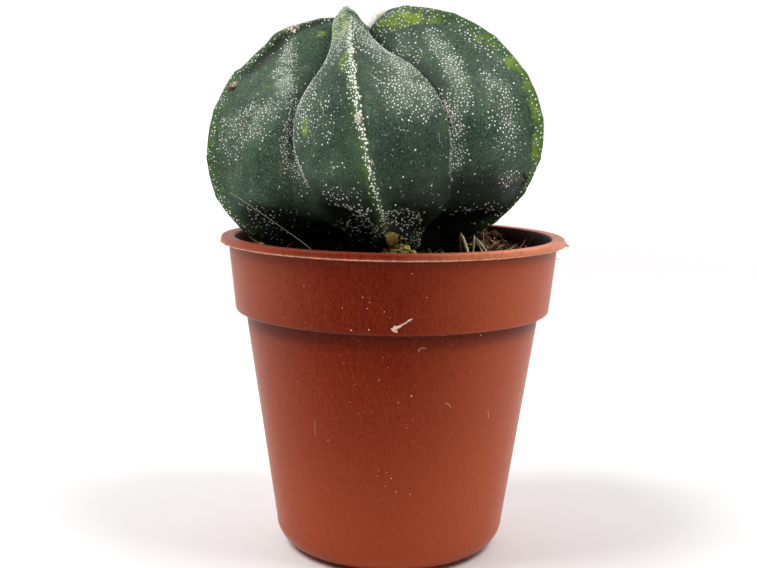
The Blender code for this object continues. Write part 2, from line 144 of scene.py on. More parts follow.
# The soil dips under the stem's points that lie below this height.
STEM_LOW = 56.0 * MM
HEAPS = ((16.0, 16.5, 2.0, 4.0), (-20.0, 7.0, 1.0, 4.5), (1.5, -15.0, 1.6, 2.6))
# How many loose crumbs and fibres lie on the soil, and pale ones on the stem's foot and its heap.
CRUMB_COUNT = 2300
FIBRE_COUNT = 150
FOOT_CRUMBS = 170
HEAP_CRUMBS = 90
# Single lumps, as (x, y, size, tint) in millimetres.
LUMPS = (
    (16.5, 12.5, 0.9, 0.34), (18.6, 11.6, 0.6, 0.22), (15.0, 14.8, 1.0, 0.26), (17.8, 14.0, 0.9, 0.2),
    (14.2, 11.2, 0.7, 0.32), (19.6, 9.4, 0.6, 0.2), (16.0, 9.6, 0.7, 0.36), (20.4, 6.2, 0.5, 0.85),
    (17.6, 6.4, 0.6, 0.36), (18.8, 3.2, 0.5, 0.32), (13.5, -10.8, 0.5, 0.34), (15.5, -10.2, 0.6, 0.38),
    (11.2, -11.8, 0.5, 0.44), (17.0, -8.2, 0.6, 0.34), (12.6, -9.4, 0.7, 0.3), (14.8, -8.6, 0.7, 0.36),
    (16.6, -6.6, 0.7, 0.32), (18.6, -6.2, 0.6, 0.44), (-14.0, -12.5, 0.8, 0.42), (-16.0, -10.5, 0.7, 0.36),
    (-17.8, 7.0, 0.7, 0.85), (-20.6, 9.0, 0.9, 0.45), (-15.5, 9.5, 1.0, 0.4), (-12.0, 18.0, 1.1, 0.55),
    (4.0, 21.5, 1.2, 0.6), (-22.5, 1.0, 0.8, 0.5), (-12.0, -14.8, 0.7, 0.5), (-9.0, -16.5, 0.6, 0.44),
)
# Straws, as (x, y, rise, way in x, y and z, length, width, tint) in millimetres.
STRAWS = (
    (11.8, -11.2, 0.0, -0.2, 0.0, 0.97, 4.6, 0.55, 1.0),
    (12.2, -11.0, 0.0, 0.1, 0.0, 0.97, 3.8, 0.4, 0.97),
    (15.0, -11.0, 0.0, -0.5, 0.0, 0.85, 4.0, 0.42, 0.8),
    (10.4, -11.6, 0.0, -0.1, 0.0, 0.95, 3.6, 0.7, 0.3),
    (17.0, -9.6, 0.2, -0.6, -0.2, 0.45, 3.0, 0.35, 0.75),
    (12.6, 8.0, 0.8, 0.15, -0.9, 0.6, 3.2, 0.7, 0.92),
    (13.4, 0.7, 1.0, 0.1, -1.0, -0.02, 9.0, 0.45, 0.88),
    (10.6, 6.0, 0.4, -0.2, -0.5, 0.9, 3.0, 1.1, 0.45),
    (8.2, -12.5, 0.5, 1.0, -0.1, 0.05, 5.0, 0.16, 0.95),
    (11.0, -13.0, 0.6, 1.0, 0.25, 0.1, 4.0, 0.14, 0.95),
    (15.0, -6.0, 0.6, 0.4, 1.0, 0.1, 5.5, 0.3, 0.6),
    (-19.0, -2.0, 0.5, 0.3, 1.0, 0.05, 6.0, 0.35, 0.55),
    (-10.0, 19.5, 0.6, 1.0, 0.3, 0.1, 6.0, 0.4, 0.8),
    (-17.5, -8.0, 0.1, 0.5, 0.0, 0.8, 3.4, 0.4, 0.6),
)

# The stem's form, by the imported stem's own rule, drawn finer. A face is a rib's number and its side,
# and the first four are those that the front shows.
RIB_COUNT = 5
FRONT_RIB, RIGHT_RIB, LEFT_RIB = 0, 1, 4
FRONT_LEFT = (FRONT_RIB, -1)
FRONT_RIGHT = (FRONT_RIB, 1)
LEFT_FACE = (LEFT_RIB, 1)
RIGHT_FACE = (RIGHT_RIB, -1)
HALF_PITCH = math.pi / RIB_COUNT
EDGE_OFFSET = 5.0 * MM
EDGE_HEIGHT = 16.3 * MM
EDGE_REACH = 22.4 * MM
EDGE_RISE = 22.0 * MM
EDGE_FALL = 16.3 * MM
EDGE_START = math.radians(-75.0)
EDGE_END = math.acos(-EDGE_OFFSET / EDGE_REACH)
CROWN_DIP = 1.5 * MM
WORN_DEPTH = 0.6 * MM
# How far the left and the right rib stand out from the even edge, in millimetres up the stem.
LEFT_TRIM = (0.4, 0.5, 0.6, 0.5, 0.4, 0.4, 0.2, 0.3, 0.5, 0.2, 0.0)
RIGHT_TRIM = (-0.4, -0.6, -0.8, -1.0, -0.7, -0.3, -0.4, -0.3, -0.2, 0.0, 0.0)
# High up, the front rib's left flank is full and its right one flat, and its tip leans to the left.
FRONT_FULLNESS = 1.3
TIP_TURN = math.radians(-7.0)
TIP_FLATNESS = 0.8
LEAN_LEFT = math.radians(6.8)
LEAN_BACK = math.radians(6.0)
STEM_TURN = math.radians(-5.4)
STEM_TWIST = math.radians(-10.0)
CROWN_TWIST = math.radians(-9.0)
STEM_FOOT = Vector((-0.1 * MM, 0.0, 48.0 * MM))
AREOLE_COUNT = 9
KEEL_HEIGHT = 0.3 * MM
KEEL_SHARE = 0.1
AREOLE_HEIGHT = 0.14 * MM
# High up, the furrow left of the front rib lies further round to the left.
FURROW_SHIFT = math.radians(-13.0)
# Patches on the ribs' faces, as (share, across, length, width, strength, slant). A patch lies at a
# share of the rib's edge and at across, from the edge at 0 to the furrow at 1. It fades over its
# length and its width, and slant, where a row gives it, moves it across as the share grows.
# Each face is pinched in over its foot, and some bulge below that: here the strength is how far the
# face is pushed out, in millimetres.
FOOT_FORMS = {
    FRONT_LEFT: [(0.145, 0.52, 0.095, 0.32, -2.6), (0.05, 0.88, 0.05, 0.15, 0.8)],
    FRONT_RIGHT: [(0.16, 0.36, 0.05, 0.27, -1.7, -1.5), (0.075, 0.45, 0.035, 0.28, 0.9)],
    LEFT_FACE: [(0.185, 0.5, 0.09, 0.3, -2.8, -1.5), (0.08, 0.72, 0.07, 0.26, -2.6)],
    RIGHT_FACE: [(0.09, 0.5, 0.08, 0.42, -3.0)],
    (1, 1): [(0.15, 0.5, 0.07, 0.3, -2.0)],
    (2, -1): [(0.14, 0.45, 0.06, 0.3, -1.6, 1.0)],
    (2, 1): [(0.16, 0.5, 0.08, 0.32, -2.3)],
    (3, -1): [(0.15, 0.55, 0.065, 0.28, -1.8, -1.0)],
    (3, 1): [(0.14, 0.45, 0.075, 0.32, -2.1)],
    (4, -1): [(0.16, 0.5, 0.07, 0.3, -2.0, 1.0)],
}
VALLEY_ROUNDS = 60
ROOT_RADII = (0.0, 3.4, 5.8, 7.0)
ROOT_HEIGHTS = (-9.6, -8.2, -4.4, -1.4)
FURROW_TUCK = 5.6 * MM
TUCK_SHARE = 0.13
LEFT_TUCK = 0.7
FURROW_RADII = (13.2, 14.8, 16.9, 18.6, 18.9, 17.2, 13.2, 8.0, 4.0, 1.6, 0.0)
FURROW_HEIGHTS = (1.0, 4.2, 8.0, 12.4, 17.2, 21.8, 25.6, 28.8, 32.0, 34.8, 36.2)
SWELL = (1.2, 1.8, 2.3, 2.6, 2.7, 2.6, 2.1, 1.4, 1.2, 1.2, 0.0)
HALF_STEPS = 40
ARC_RINGS = 216
ROOT_RINGS = 6
# An across that is larger than any on a face.
ELSEWHERE = 9.0

# How thickly the flecks stand.
FLECK_PATCHES = {
    # The front rib's left face: its tip, the ridge's band, the band by the furrow and the foot.
    FRONT_LEFT: [
        (0.8, 0.3, 0.13, 0.65, 1.9),
        (0.66, 0.84, 0.17, 0.17, 3.0, -0.4),
        (0.5, 0.72, 0.08, 0.16, 0.9, -1.2),
        (0.47, 0.5, 0.06, 0.22, 0.28, -0.8),
        (0.62, 0.48, 0.1, 0.2, 0.1),
        (0.345, 0.42, 0.018, 0.14, 0.2),
        (0.24, 0.34, 0.055, 0.2, 0.8, 1.2),
        (0.13, 0.35, 0.07, 0.25, 0.75),
        (0.1, 0.8, 0.06, 0.18, 0.45),
        (0.39, 0.95, 0.09, 0.08, 1.8),
    ],
    # The front rib's right face: the broad band from the tip, and the dark foot.
    FRONT_RIGHT: [
        (0.76, 0.5, 0.12, 0.65, 1.4),
        (0.59, 0.64, 0.12, 0.25, 2.2, -1.3),
        (0.5, 0.48, 0.06, 0.2, 1.9, -1.5),
        (0.66, 0.22, 0.05, 0.1, 0.5),
        (0.4, 0.35, 0.05, 0.35, 0.02),
        (0.155, 0.3, 0.05, 0.24, 1.3, -2.2),
        (0.075, 0.4, 0.045, 0.22, 0.8, 1.5),
        (0.38, 0.97, 0.11, 0.06, 2.2),
    ],
    # The left rib: the band down from the crest, the scatter beside it and the dark foot.
    LEFT_FACE: [
        (0.65, 0.55, 0.14, 0.11, 2.6, -2.7),
        (0.49, 0.42, 0.055, 0.28, 1.1, 0.4),
        (0.42, 0.4, 0.03, 0.2, 0.15),
        (0.5, 0.68, 0.06, 0.16, 0.7),
        (0.4, 0.97, 0.11, 0.08, 2.0),
        (0.22, 0.22, 0.06, 0.22, 0.4, 1.0),
        (0.2, 0.55, 0.06, 0.3, 0.15),
    ],
    # The right rib: the band down from the crest, the round cluster and the ones by the crown.
    RIGHT_FACE: [
        (0.6, 0.65, 0.165, 0.1, 2.4, -1.5),
        (0.49, 0.39, 0.075, 0.13, 1.6),
        (0.41, 0.44, 0.08, 0.2, 0.6),
        (0.74, 0.72, 0.09, 0.26, 0.6),
        (0.87, 0.4, 0.06, 0.5, 1.3),
        (0.68, 0.15, 0.1, 0.12, 0.5),
        (0.4, 0.96, 0.11, 0.055, 3.6),
        (0.275, 0.42, 0.022, 0.13, 1.1),
        (0.15, 0.5, 0.04, 0.35, 0.3),
    ],
}
# Where the flecks crowd together, finer and closer.
CROWDS = {
    FRONT_LEFT: [
        (0.66, 0.86, 0.2, 0.16, 1.0, -0.3),
        (0.42, 0.96, 0.12, 0.08, 1.0),
        (0.84, 0.5, 0.08, 0.6, 0.25),
    ],
    LEFT_FACE: [(0.65, 0.55, 0.14, 0.14, 0.9, -2.7), (0.4, 0.96, 0.12, 0.08, 0.8)],
    RIGHT_FACE: [(0.4, 0.96, 0.13, 0.06, 0.7)],
}
# Where the skin turns yellow-green, and where it is painted dark as shade.
YELLOW_PATCHES = {
    FRONT_LEFT: [
        (0.615, 0.17, 0.03, 0.11, 1.05),
        (0.45, 0.66, 0.03, 0.06, 0.6),
        (0.8, 0.3, 0.1, 0.45, 0.62),
        (0.46, 0.03, 0.12, 0.09, 0.22),
        (0.28, 0.03, 0.1, 0.05, 0.2),
    ],
    LEFT_FACE: [
        (0.83, 0.44, 0.018, 0.16, 0.5),
        (0.61, 0.5, 0.045, 0.14, 0.3),
        (0.66, 0.2, 0.03, 0.08, 0.3),
        (0.44, 0.06, 0.12, 0.1, 0.32),
    ],
    RIGHT_FACE: [
        (0.85, 0.36, 0.055, 0.24, 0.8),
        (0.88, 0.6, 0.03, 0.16, 0.8),
        (0.8, 0.12, 0.06, 0.14, 0.32),
        (0.7, 0.1, 0.06, 0.1, 0.42),
        (0.59, 0.05, 0.025, 0.07, 0.75),
        (0.42, 0.02, 0.17, 0.09, 0.72),
    ],
}
PAINTED_SHADE_PATCHES = {
    FRONT_LEFT: [(0.5, 0.22, 0.16, 0.18, 0.35), (0.25, 0.4, 0.08, 0.45, 0.75)],
    FRONT_RIGHT: [(0.3, 0.45, 0.14, 0.5, 0.55)],
    LEFT_FACE: [(0.6, 0.92, 0.2, 0.12, 0.4), (0.42, 0.1, 0.08, 0.1, 0.3)],
    RIGHT_FACE: [(0.2, 0.5, 0.1, 0.6, 0.8), (0.62, 0.93, 0.12, 0.1, 0.6)],
}

# The flecks, from the front rib round to the left one: how thickly they stand along each rib's
# edge, how far apart they are and how large, in millimetres or as a share of the full size.
EDGE_FLECKS = (1.6, 0.6, 0.8, 0.8, 0.5)
FLECK_SPACES = (0.42, 0.43, 0.46, 0.46, 0.35)
FLECK_SIZES = (0.84, 0.84, 0.92, 0.92, 0.7)
FLECK_DENSITY = 8.0 / MM**2
FLECK_RIM = 7
# The powder of fine flecks between them.
POWDER_DENSITY = 3.2 / MM**2
POWDER_SPACES = (0.26,) * RIB_COUNT
# Each fleck's rings out from the skin, as (level from rim to core, width, rise).
FLECK_FORM = ((0.0, 1.0, -0.08), (0.55, 0.7, 0.3), (1.0, 0.0, 0.45))
POWDER_FORM = ((0.25, 1.0, 0.05), (0.7, 0.0, 0.5))
# Heights for a ramp, from where it is 0 to where it is 1. The front ridge's large flecks start below
# its tip and are smaller again lower down. At the foot the other flecks are large. The powder thins
# there and high up.
RIDGE_START = (85.0 * MM, 80.0 * MM)
RIDGE_GROWTH = (63.0 * MM, 68.0 * MM)
LARGE_FOOT = (60.0 * MM, 56.0 * MM)
POWDER_FOOT = (59.0 * MM, 56.0 * MM)
POWDER_TOP = (76.0 * MM, 82.0 * MM)

# Scars and corky crusts, as (face, share, across, spread of share, spread across, slant, count, size
# in millimetres, tint).
MARKS = (
    (LEFT_FACE, 0.62, 0.07, 0.003, 0.014, 0.0, 40, 0.24, 0.62),
    (LEFT_FACE, 0.609, 0.08, 0.002, 0.02, 0.0, 14, 0.22, 0.08),
    (LEFT_FACE, 0.822, 0.05, 0.016, 0.03, 0.0, 46, 0.2, 0.75),
    (LEFT_FACE, 0.775, 0.03, 0.02, 0.02, 0.0, 16, 0.14, 0.6),
    (LEFT_FACE, 0.5, 0.46, 0.003, 0.012, 0.0, 5, 0.17, 0.5),
    (LEFT_FACE, 0.523, 0.13, 0.004, 0.015, 0.0, 5, 0.16, 0.8),
    (FRONT_LEFT, 0.415, 0.96, 0.035, 0.012, 0.0, 50, 0.12, 1.15),
    (LEFT_FACE, 0.375, 0.96, 0.005, 0.015, 0.0, 9, 0.22, 0.1),
    (LEFT_FACE, 0.352, 0.88, 0.016, 0.012, 0.0, 8, 0.09, 0.6),
    (RIGHT_FACE, 0.435, 0.965, 0.03, 0.013, 0.0, 90, 0.13, 1.15),
    (RIGHT_FACE, 0.262, 0.08, 0.01, 0.008, -1.0, 14, 0.2, 0.0),
    (RIGHT_FACE, 0.272, 0.36, 0.01, 0.08, 0.0, 24, 0.12, 0.6),
    (FRONT_RIGHT, 0.315, 0.5, 0.006, 0.025, 0.0, 7, 0.1, 0.25),
    (RIGHT_FACE, 0.671, 0.73, 0.004, 0.02, 0.0, 5, 0.1, 0.45),
    ((3, 1), 0.54, 0.4, 0.012, 0.05, 0.0, 16, 0.16, 0.6),
    ((2, -1), 0.38, 0.95, 0.03, 0.03, 0.0, 50, 0.15, 0.8),
    ((3, -1), 0.42, 0.95, 0.025, 0.03, 0.0, 40, 0.14, 0.85),
    ((2, 1), 0.24, 0.2, 0.015, 0.04, 0.0, 22, 0.18, 0.35),
)
# Fine scratches in the skin, as (face, share, across, share, across, width, tint).
SCRATCHES = (
    (FRONT_RIGHT, 0.474, 0.37, 0.452, 0.34, 0.1, 0.95),
    (FRONT_RIGHT, 0.437, 0.33, 0.42, 0.38, 0.1, 0.95),
    (FRONT_RIGHT, 0.575, 0.14, 0.536, 0.32, 0.12, 0.8),
    (FRONT_RIGHT, 0.4, 0.72, 0.355, 0.77, 0.08, 0.75),
    (RIGHT_FACE, 0.292, 0.15, 0.262, 0.08, 0.6, 0.0),
    (LEFT_FACE, 0.372, 0.87, 0.322, 0.84, 0.1, 0.62),
    (FRONT_LEFT, 0.357, 0.86, 0.264, 0.95, 0.1, 0.62),
    (FRONT_LEFT, 0.52, 0.46, 0.47, 0.4, 0.07, 0.8),
    (FRONT_LEFT, 0.35, 0.44, 0.352, 0.3, 0.07, 0.8),
    (LEFT_FACE, 0.56, 0.5, 0.52, 0.44, 0.07, 0.85),
    (RIGHT_FACE, 0.385, 0.6, 0.37, 0.52, 0.07, 0.75),
    ((1, 1), 0.5, 0.4, 0.45, 0.48, 0.09, 0.8),
    ((3, -1), 0.6, 0.3, 0.56, 0.42, 0.09, 0.8),
)
# Tufts of wool, as (face, share, across, reach, count, length, tint), with reach and length in
# millimetres. The first is the one that the front shows best.
TUFTS = (
    (FRONT_LEFT, 0.468, 0.03, 0.7, 170, 0.55, 0.96),
    (FRONT_LEFT, 0.905, 0.03, 0.45, 60, 0.4, 0.85),
    ((2, -1), 0.958, 0.46, 1.5, 420, 1.2, 0.82),
    (RIGHT_FACE, 0.945, 0.2, 0.8, 150, 0.9, 0.9),
    (LEFT_FACE, 0.945, 0.2, 0.7, 90, 0.8, 0.7),
)
# The small tuft that stands on each rib's edge at some of the areoles, and their shares.
SMALL_TUFT = (0.02, 0.28, 22, 0.35, 0.8)
TUFT_SHARES = (0.36, 0.58, 0.69, 0.8)
# The loose hair's path: shares and across on the left rib, and then places over the soil.
HAIR_START = ((0.333, 0.18), (0.31, 0.31))
HAIR_END = ((-14.3, -13.5, 51.5), (-11.8, -19.5, 50.5))

STEM_FRAME = (
    Matrix.Translation(STEM_FOOT)
    @ Matrix.Rotation(-LEAN_LEFT, 4, "Y")
    @ Matrix.Rotation(-LEAN_BACK, 4, "X")
    @ Matrix.Rotation(STEM_TURN - 0.5 * math.pi, 4, "Z")
)


def srgb(red, green, blue):
    """A colour given as it looks, 0 to 255, in the linear values that shaders take."""
    parts = [value / 255.0 for value in (red, green, blue)]
    linear = [v / 12.92 if v <= 0.04045 else ((v + 0.055) / 1.055) ** 2.4 for v in parts]
    return (*linear, 1.0)


class Paint:
    """A material, or the world, whose nodes are built with short calls.

    A value is a number, a colour or a socket. Inputs go by their names or their numbers.
    """

    def __init__(self, name, world=False):
        self.owner = bpy.data.worlds.new(name) if world else bpy.data.materials.new(name)
        self.owner.use_nodes = True
        self.tree = self.owner.node_tree
        self.shader = self.tree.nodes["Background" if world else "Principled BSDF"]
        self.place = self.node("TexCoord")["Generated" if world else "Object"]

    def feed(self, socket, value):
        if isinstance(value, bpy.types.NodeSocket):
            self.tree.links.new(value, socket)
        else:
            socket.default_value = value

    def node(self, kind, inputs=None, **settings):
        """The outputs of a new node."""
        node = self.tree.nodes.new("ShaderNode" + kind)
        for name, value in settings.items():
            setattr(node, name, value)
        for name, value in (inputs or {}).items():
            self.feed(node.inputs[name], value)
        return node.outputs

    def set(self, **values):
        """Sets the shader's inputs, whose names have underscores for spaces here."""
        for name, value in values.items():
            self.feed(self.shader.inputs[name.replace("_", " ")], value)

    def attribute(self, name):
        return self.node("Attribute", attribute_name=name)["Fac"]

    def axis(self, name):
        """The place along X, Y or Z."""
        return self.node("SeparateXYZ", {0: self.place})[name]

    def mix(self, share, a, b):
        return self.node("Mix", {0: share, 6: a, 7: b}, data_type="RGBA")[2]

    def coats(self, colour, *rows):
        """The colour with shades laid over it in turn, each row a share and then 0 to 255 values."""
        for share, *shade in rows:
            colour = self.mix(share, colour, srgb(*shade))
        return colour

    def math(self, operation, a, b, clamp=False):
        return self.node("Math", {0: a, 1: b}, operation=operation, use_clamp=clamp)[0]

    def times(self, a, b, clamp=False):
        return self.math("MULTIPLY", a, b, clamp)

    def ramp(self, value, low, high, start=0.0, end=1.0):
        """start below low and end above high, with a smooth step between."""
        inputs = dict(enumerate((value, low, high, start, end)))
        return self.node("MapRange", inputs, interpolation_type="SMOOTHSTEP")[0]

    def noise(self, size, detail=2.0, upright=1.0, rough=0.5):
        """Noise between 0 and 1. Its lumps are about size metres across, and size / upright high."""
        place = self.node("Mapping", {"Vector": self.place, "Scale": (1.0, 1.0, upright)})[0]
        inputs = {"Vector": place, "Scale": 1.0 / size, "Detail": detail, "Roughness": rough}
        return self.node("TexNoise", inputs)["Fac"]

    def cells(self, size):
        """The distance to the nearest of scattered points that lie about size metres apart."""
        return self.node("TexVoronoi", {"Vector": self.place, "Scale": 1.0 / size})["Distance"]

    def bump(self, height, depth, strength=1.0):
        """Raises the surface by height, 0 to 1, times depth in metres."""
        inputs = {"Strength": strength, "Distance": depth, "Height": height}
        self.set(Normal=self.node("Bump", inputs)[0])


def placed(name, data):
    """A new object in the scene."""
    thing = bpy.data.objects.new(name, data)
    bpy.context.scene.collection.objects.link(thing)
    return thing


def new_piece(name, points, faces, paint, node=None, values=None):
    """A smooth mesh that rides on the part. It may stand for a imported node, and hold named values."""
    mesh = bpy.data.meshes.new(name)
    mesh.from_pydata(np.asarray(points).tolist(), [], [tuple(face) for face in faces])
    mesh.validate()
    mesh.shade_smooth()
    mesh.materials.append(paint.owner)
    for key, numbers in (values or {}).items():
        layer = mesh.attributes.new(key, "FLOAT", "POINT")
        layer.data.foreach_set("value", np.asarray(numbers, dtype=np.float32).ravel())
    piece = placed(name, mesh)
    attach(piece, "root")
    if node:
        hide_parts(node)
    return piece


def ring_faces(rings, columns, first=0):
    """The quads between closed rings of vertices, wound to face out when the rings go up."""
    faces = []
    for ring in range(rings - 1):
        low = first + ring * columns
        for column in range(columns):
            after = (column + 1) % columns
            faces.append((low + column, low + after, low + columns + after, low + columns + column))
    return faces


def capped(rings, start, end, flip=False):
    """The points and faces of closed rings, with a tip before the first and one after the last.

    They face out when the rings go up, or with flip when they go down.
    """
    count, columns = len(rings), len(rings[0])
    points = np.concatenate([np.reshape(rings, (-1, 3)), [start, end]])
    faces = ring_faces(count, columns)
    tip, last = count * columns, (count - 1) * columns
    for column in range(columns):
        after = (column + 1) % columns
        faces.append((tip, after, column))
        faces.append((last + column, last + after, tip + 1))
    return points, [face[::-1] for face in faces] if flip else faces


def tip_at(height):
    return (0.0, 0.0, height)


def ramp(value, low, high):
    """0 below low and 1 above high, with a smooth step between; high may be the lower one."""
    u = np.clip((value - low) / (high - low), 0.0, 1.0)
    return u * u * (3.0 - 2.0 * u)


def along(path, share):
    """A smooth curve through evenly spaced values, read at shares of its length."""
    rows = np.asarray(path, dtype=float)
    last = len(rows) - 1
    at = np.clip(share, 0.0, 1.0) * last
    i = np.minimum(at.astype(int), last - 1)
    u = (at - i).reshape(np.shape(at) + (1,) * (rows.ndim - 1))
    before, a, b, after = rows[np.maximum(i - 1, 0)], rows[i], rows[i + 1], rows[np.minimum(i + 2, last)]
    bend = before - 2.5 * a + 2.0 * b - 0.5 * after
    return a + 0.5 * u * (b - before) + u**2 * bend + u**3 * (0.5 * (after - before) + 1.5 * (a - b))


def polar(radius, turn, height):
    return np.stack(np.broadcast_arrays(radius * np.cos(turn), radius * np.sin(turn), height), axis=-1)


def unit(vectors):
    return vectors / np.maximum(np.linalg.norm(vectors, axis=-1, keepdims=True), 1e-12)


def edge_point(share, rib):
    """(radius, height) of a rib's edge, from its foot at 0 to the crown at 1."""
    angle = EDGE_START + (EDGE_END - EDGE_START) * share
    worn = WORN_DEPTH * ramp(share, 0.65, 0.67) * ramp(share, 0.8, 0.74)
    left = (along(LEFT_TRIM, share) * MM - worn) * (rib == LEFT_RIB)
    trim = left + along(RIGHT_TRIM, share) * MM * (rib == RIGHT_RIB)
    rise = np.where(angle > 0.0, EDGE_RISE, EDGE_FALL)
    radius = EDGE_OFFSET + (EDGE_REACH + trim) * np.cos(angle)
    height = EDGE_HEIGHT + (rise + trim) * np.sin(angle) - CROWN_DIP * ramp(share, 0.93, 1.0)
    return radius, height


def edge_shift(share, rib):
    """How far round the stem a rib's edge leans at its tip."""
    return TIP_TURN * ramp(share, 0.74, 0.85) * (rib == FRONT_RIB)


def by_left_furrow(rib, side):
    """Whether a face borders the furrow between the left and the front rib."""
    return ((rib == FRONT_RIB) & (side < 0.0)) | ((rib == LEFT_RIB) & (side > 0.0))


def by_right_furrow(rib, side):
    return ((rib == FRONT_RIB) & (side > 0.0)) | ((rib == RIGHT_RIB) & (side < 0.0))


def furrow_shift(share, rib, side):
    """How far a furrow lies from the middle between its ribs."""
    return FURROW_SHIFT * ramp(share, 0.58, 0.8) * by_left_furrow(rib, side)


def flank_point(share, across, centre, side, rib):
    """A point of the plain ruled flank, from the rib's edge at across 0 to the furrow at 1."""
    radius, height = edge_point(share, rib)
    edge = polar(radius, centre + edge_shift(share, rib), height)
    deep, low = along(FURROW_RADII, share) * MM, along(FURROW_HEIGHTS, share) * MM
    tucked = by_right_furrow(rib, side) + LEFT_TUCK * by_left_furrow(rib, side)
    deep = deep - FURROW_TUCK * np.exp(-((share / TUCK_SHARE) ** 4)) * tucked
    turn = centre + side * HALF_PITCH + furrow_shift(share, rib, side)
    return edge + (polar(deep, turn, low) - edge) * across[..., None]


def flank_normal(share, across, centre, side, rib):
    """The way out of the surface: the flank's own, turned into the rib's plane along its edge."""
    step = 0.01
    low, high = np.maximum(share - step, 0.0), np.minimum(share + step, 1.0)
    near, far = np.maximum(across - step, 0.0), np.minimum(across + step, 1.0)
    up = flank_point(high, across, centre, side, rib) - flank_point(low, across, centre, side, rib)
    out = flank_point(share, far, centre, side, rib) - flank_point(share, near, centre, side, rib)
    flank = unit(np.cross(out, up) * side[..., None])
    low_radius, low_height = edge_point(low, rib)
    high_radius, high_height = edge_point(high, rib)
    edge = unit(polar(high_height - low_height, centre, low_radius - high_radius))
    share_of_edge = np.maximum(1.0 - across / KEEL_SHARE, 0.0)[..., None]
    return unit(flank + (edge - flank) * share_of_edge)


def swell_shape(share, across):
    """The swell's rise over a flank: slow from the edge, full near the furrow, and steep into it."""
    rise = 1.5 - 0.9 * ramp(share, 0.75, 0.9)
    fall = 0.55 + 0.75 * ramp(share, 0.42, 0.22)
    peak = rise / (rise + fall)
    return across**rise * (1.0 - across) ** fall / (peak**rise * (1.0 - peak) ** fall)


def bell(value, width):
    """1 where the value is 0, fading over the width on both sides."""
    return np.exp(-((value / width) ** 2))


def patch(share, across, at, over, length, width, strength, slant=0.0):
    """A soft patch whose middle lies at the share at and at the across over."""
    middle = over + slant * (share - at)
    away = ((share - at) / length) ** 2 + ((across - middle) / width) ** 2
    return strength * np.exp(-away * away)


def patches(table, share, across, rib, side):
    """The sum of a table's patches at places on the ribs' faces."""
    total = np.zeros_like(share)
    for (face_rib, face_side), rows in table.items():
        for row in rows:
            total += patch(share, across, *row) * ((rib == face_rib) & (side == face_side))
    return total


def keel_rise(share, across):
    """The keel along a rib's edge, with the row of areoles that stands on it."""
    fade = np.minimum(np.minimum(share / 0.08, (1.0 - share) / 0.08), 1.0)
    areole = np.maximum(np.cos(math.tau * AREOLE_COUNT * share), 0.0) ** 3
    crest = np.maximum(1.0 - across / KEEL_SHARE, 0.0) ** 1.4
    return crest * (KEEL_HEIGHT + AREOLE_HEIGHT * areole) * fade


def across_share(turn):
    """How far an angle round the stem lies from its rib's edge at 0 towards the furrow at 1."""
    even = np.abs(turn / HALF_PITCH - 2.0 * np.round(0.5 * turn / HALF_PITCH))
    return np.minimum(even - 0.095 * np.sin(math.tau * even), 1.0)


def rib_place(turn):
    """The rib that an angle round the stem lies on, and its side: 1 beyond the rib's edge, or -1."""
    step = np.round(turn / (2.0 * HALF_PITCH))
    return step.astype(int) % RIB_COUNT, np.where(turn >= step * 2.0 * HALF_PITCH, 1.0, -1.0)


def stem_points(turn, share):
    """Points of the stem's surface in its own frame, at angles round its axis and shares of its height."""
    rib, side = rib_place(turn)
    across = across_share(turn)
    centre = np.round(turn / (2.0 * HALF_PITCH)) * 2.0 * HALF_PITCH
    centre = centre + STEM_TWIST * (share - 0.6) + CROWN_TWIST * ramp(share, 0.75, 0.95)
    swell = along(SWELL, share) * MM * swell_shape(share, across)
    fuller = (rib == FRONT_RIB) & (side < 0.0)
    flatter = (rib == FRONT_RIB) & (side > 0.0)
    swell = swell * (1.0 + FRONT_FULLNESS * ramp(share, 0.62, 0.82) * fuller)
    swell = swell * (1.0 - TIP_FLATNESS * ramp(share, 0.62, 0.8) * flatter)
    swell = swell + patches(FOOT_FORMS, share, across, rib, side) * MM
    point = flank_point(share, across, centre, side, rib)
    normal = flank_normal(share, across, centre, side, rib)
    point = point + normal * (swell + keel_rise(share, across))[..., None]
    # A rib stays on its own side of the furrow, where its neighbour's flank meets it.
    away = side * (np.arctan2(point[..., 1], point[..., 0]) - centre)
    away = (away + math.pi) % math.tau - math.pi
    room = HALF_PITCH + side * furrow_shift(share, rib, side)
    away = np.minimum(away, room * (1.0 - 0.04 * (1.0 - across)))
    radius = np.hypot(point[..., 0], point[..., 1])
    return polar(radius, centre + side * away, point[..., 2])


def soften(points, weight, rounds):
    """Draws each point towards the middle of its neighbours in the ring, by its weight."""
    for _ in range(rounds):
        middle = 0.5 * (np.roll(points, 1, axis=1) + np.roll(points, -1, axis=1))
        points = points + (middle - points) * 0.5 * weight[..., None]
    return points


def in_stem_frame(points):
    """Points given in the stem's own frame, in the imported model's."""
    turned = np.asarray(STEM_FRAME.to_3x3())
    return points @ turned.T + np.asarray(STEM_FRAME.translation)


def grid_normals(points):
    """The way out at every point of a grid of closed rings that go up."""
    up = np.gradient(points, axis=0)
    on = np.roll(points, -1, axis=1) - np.roll(points, 1, axis=1)
    return unit(np.cross(on, up))


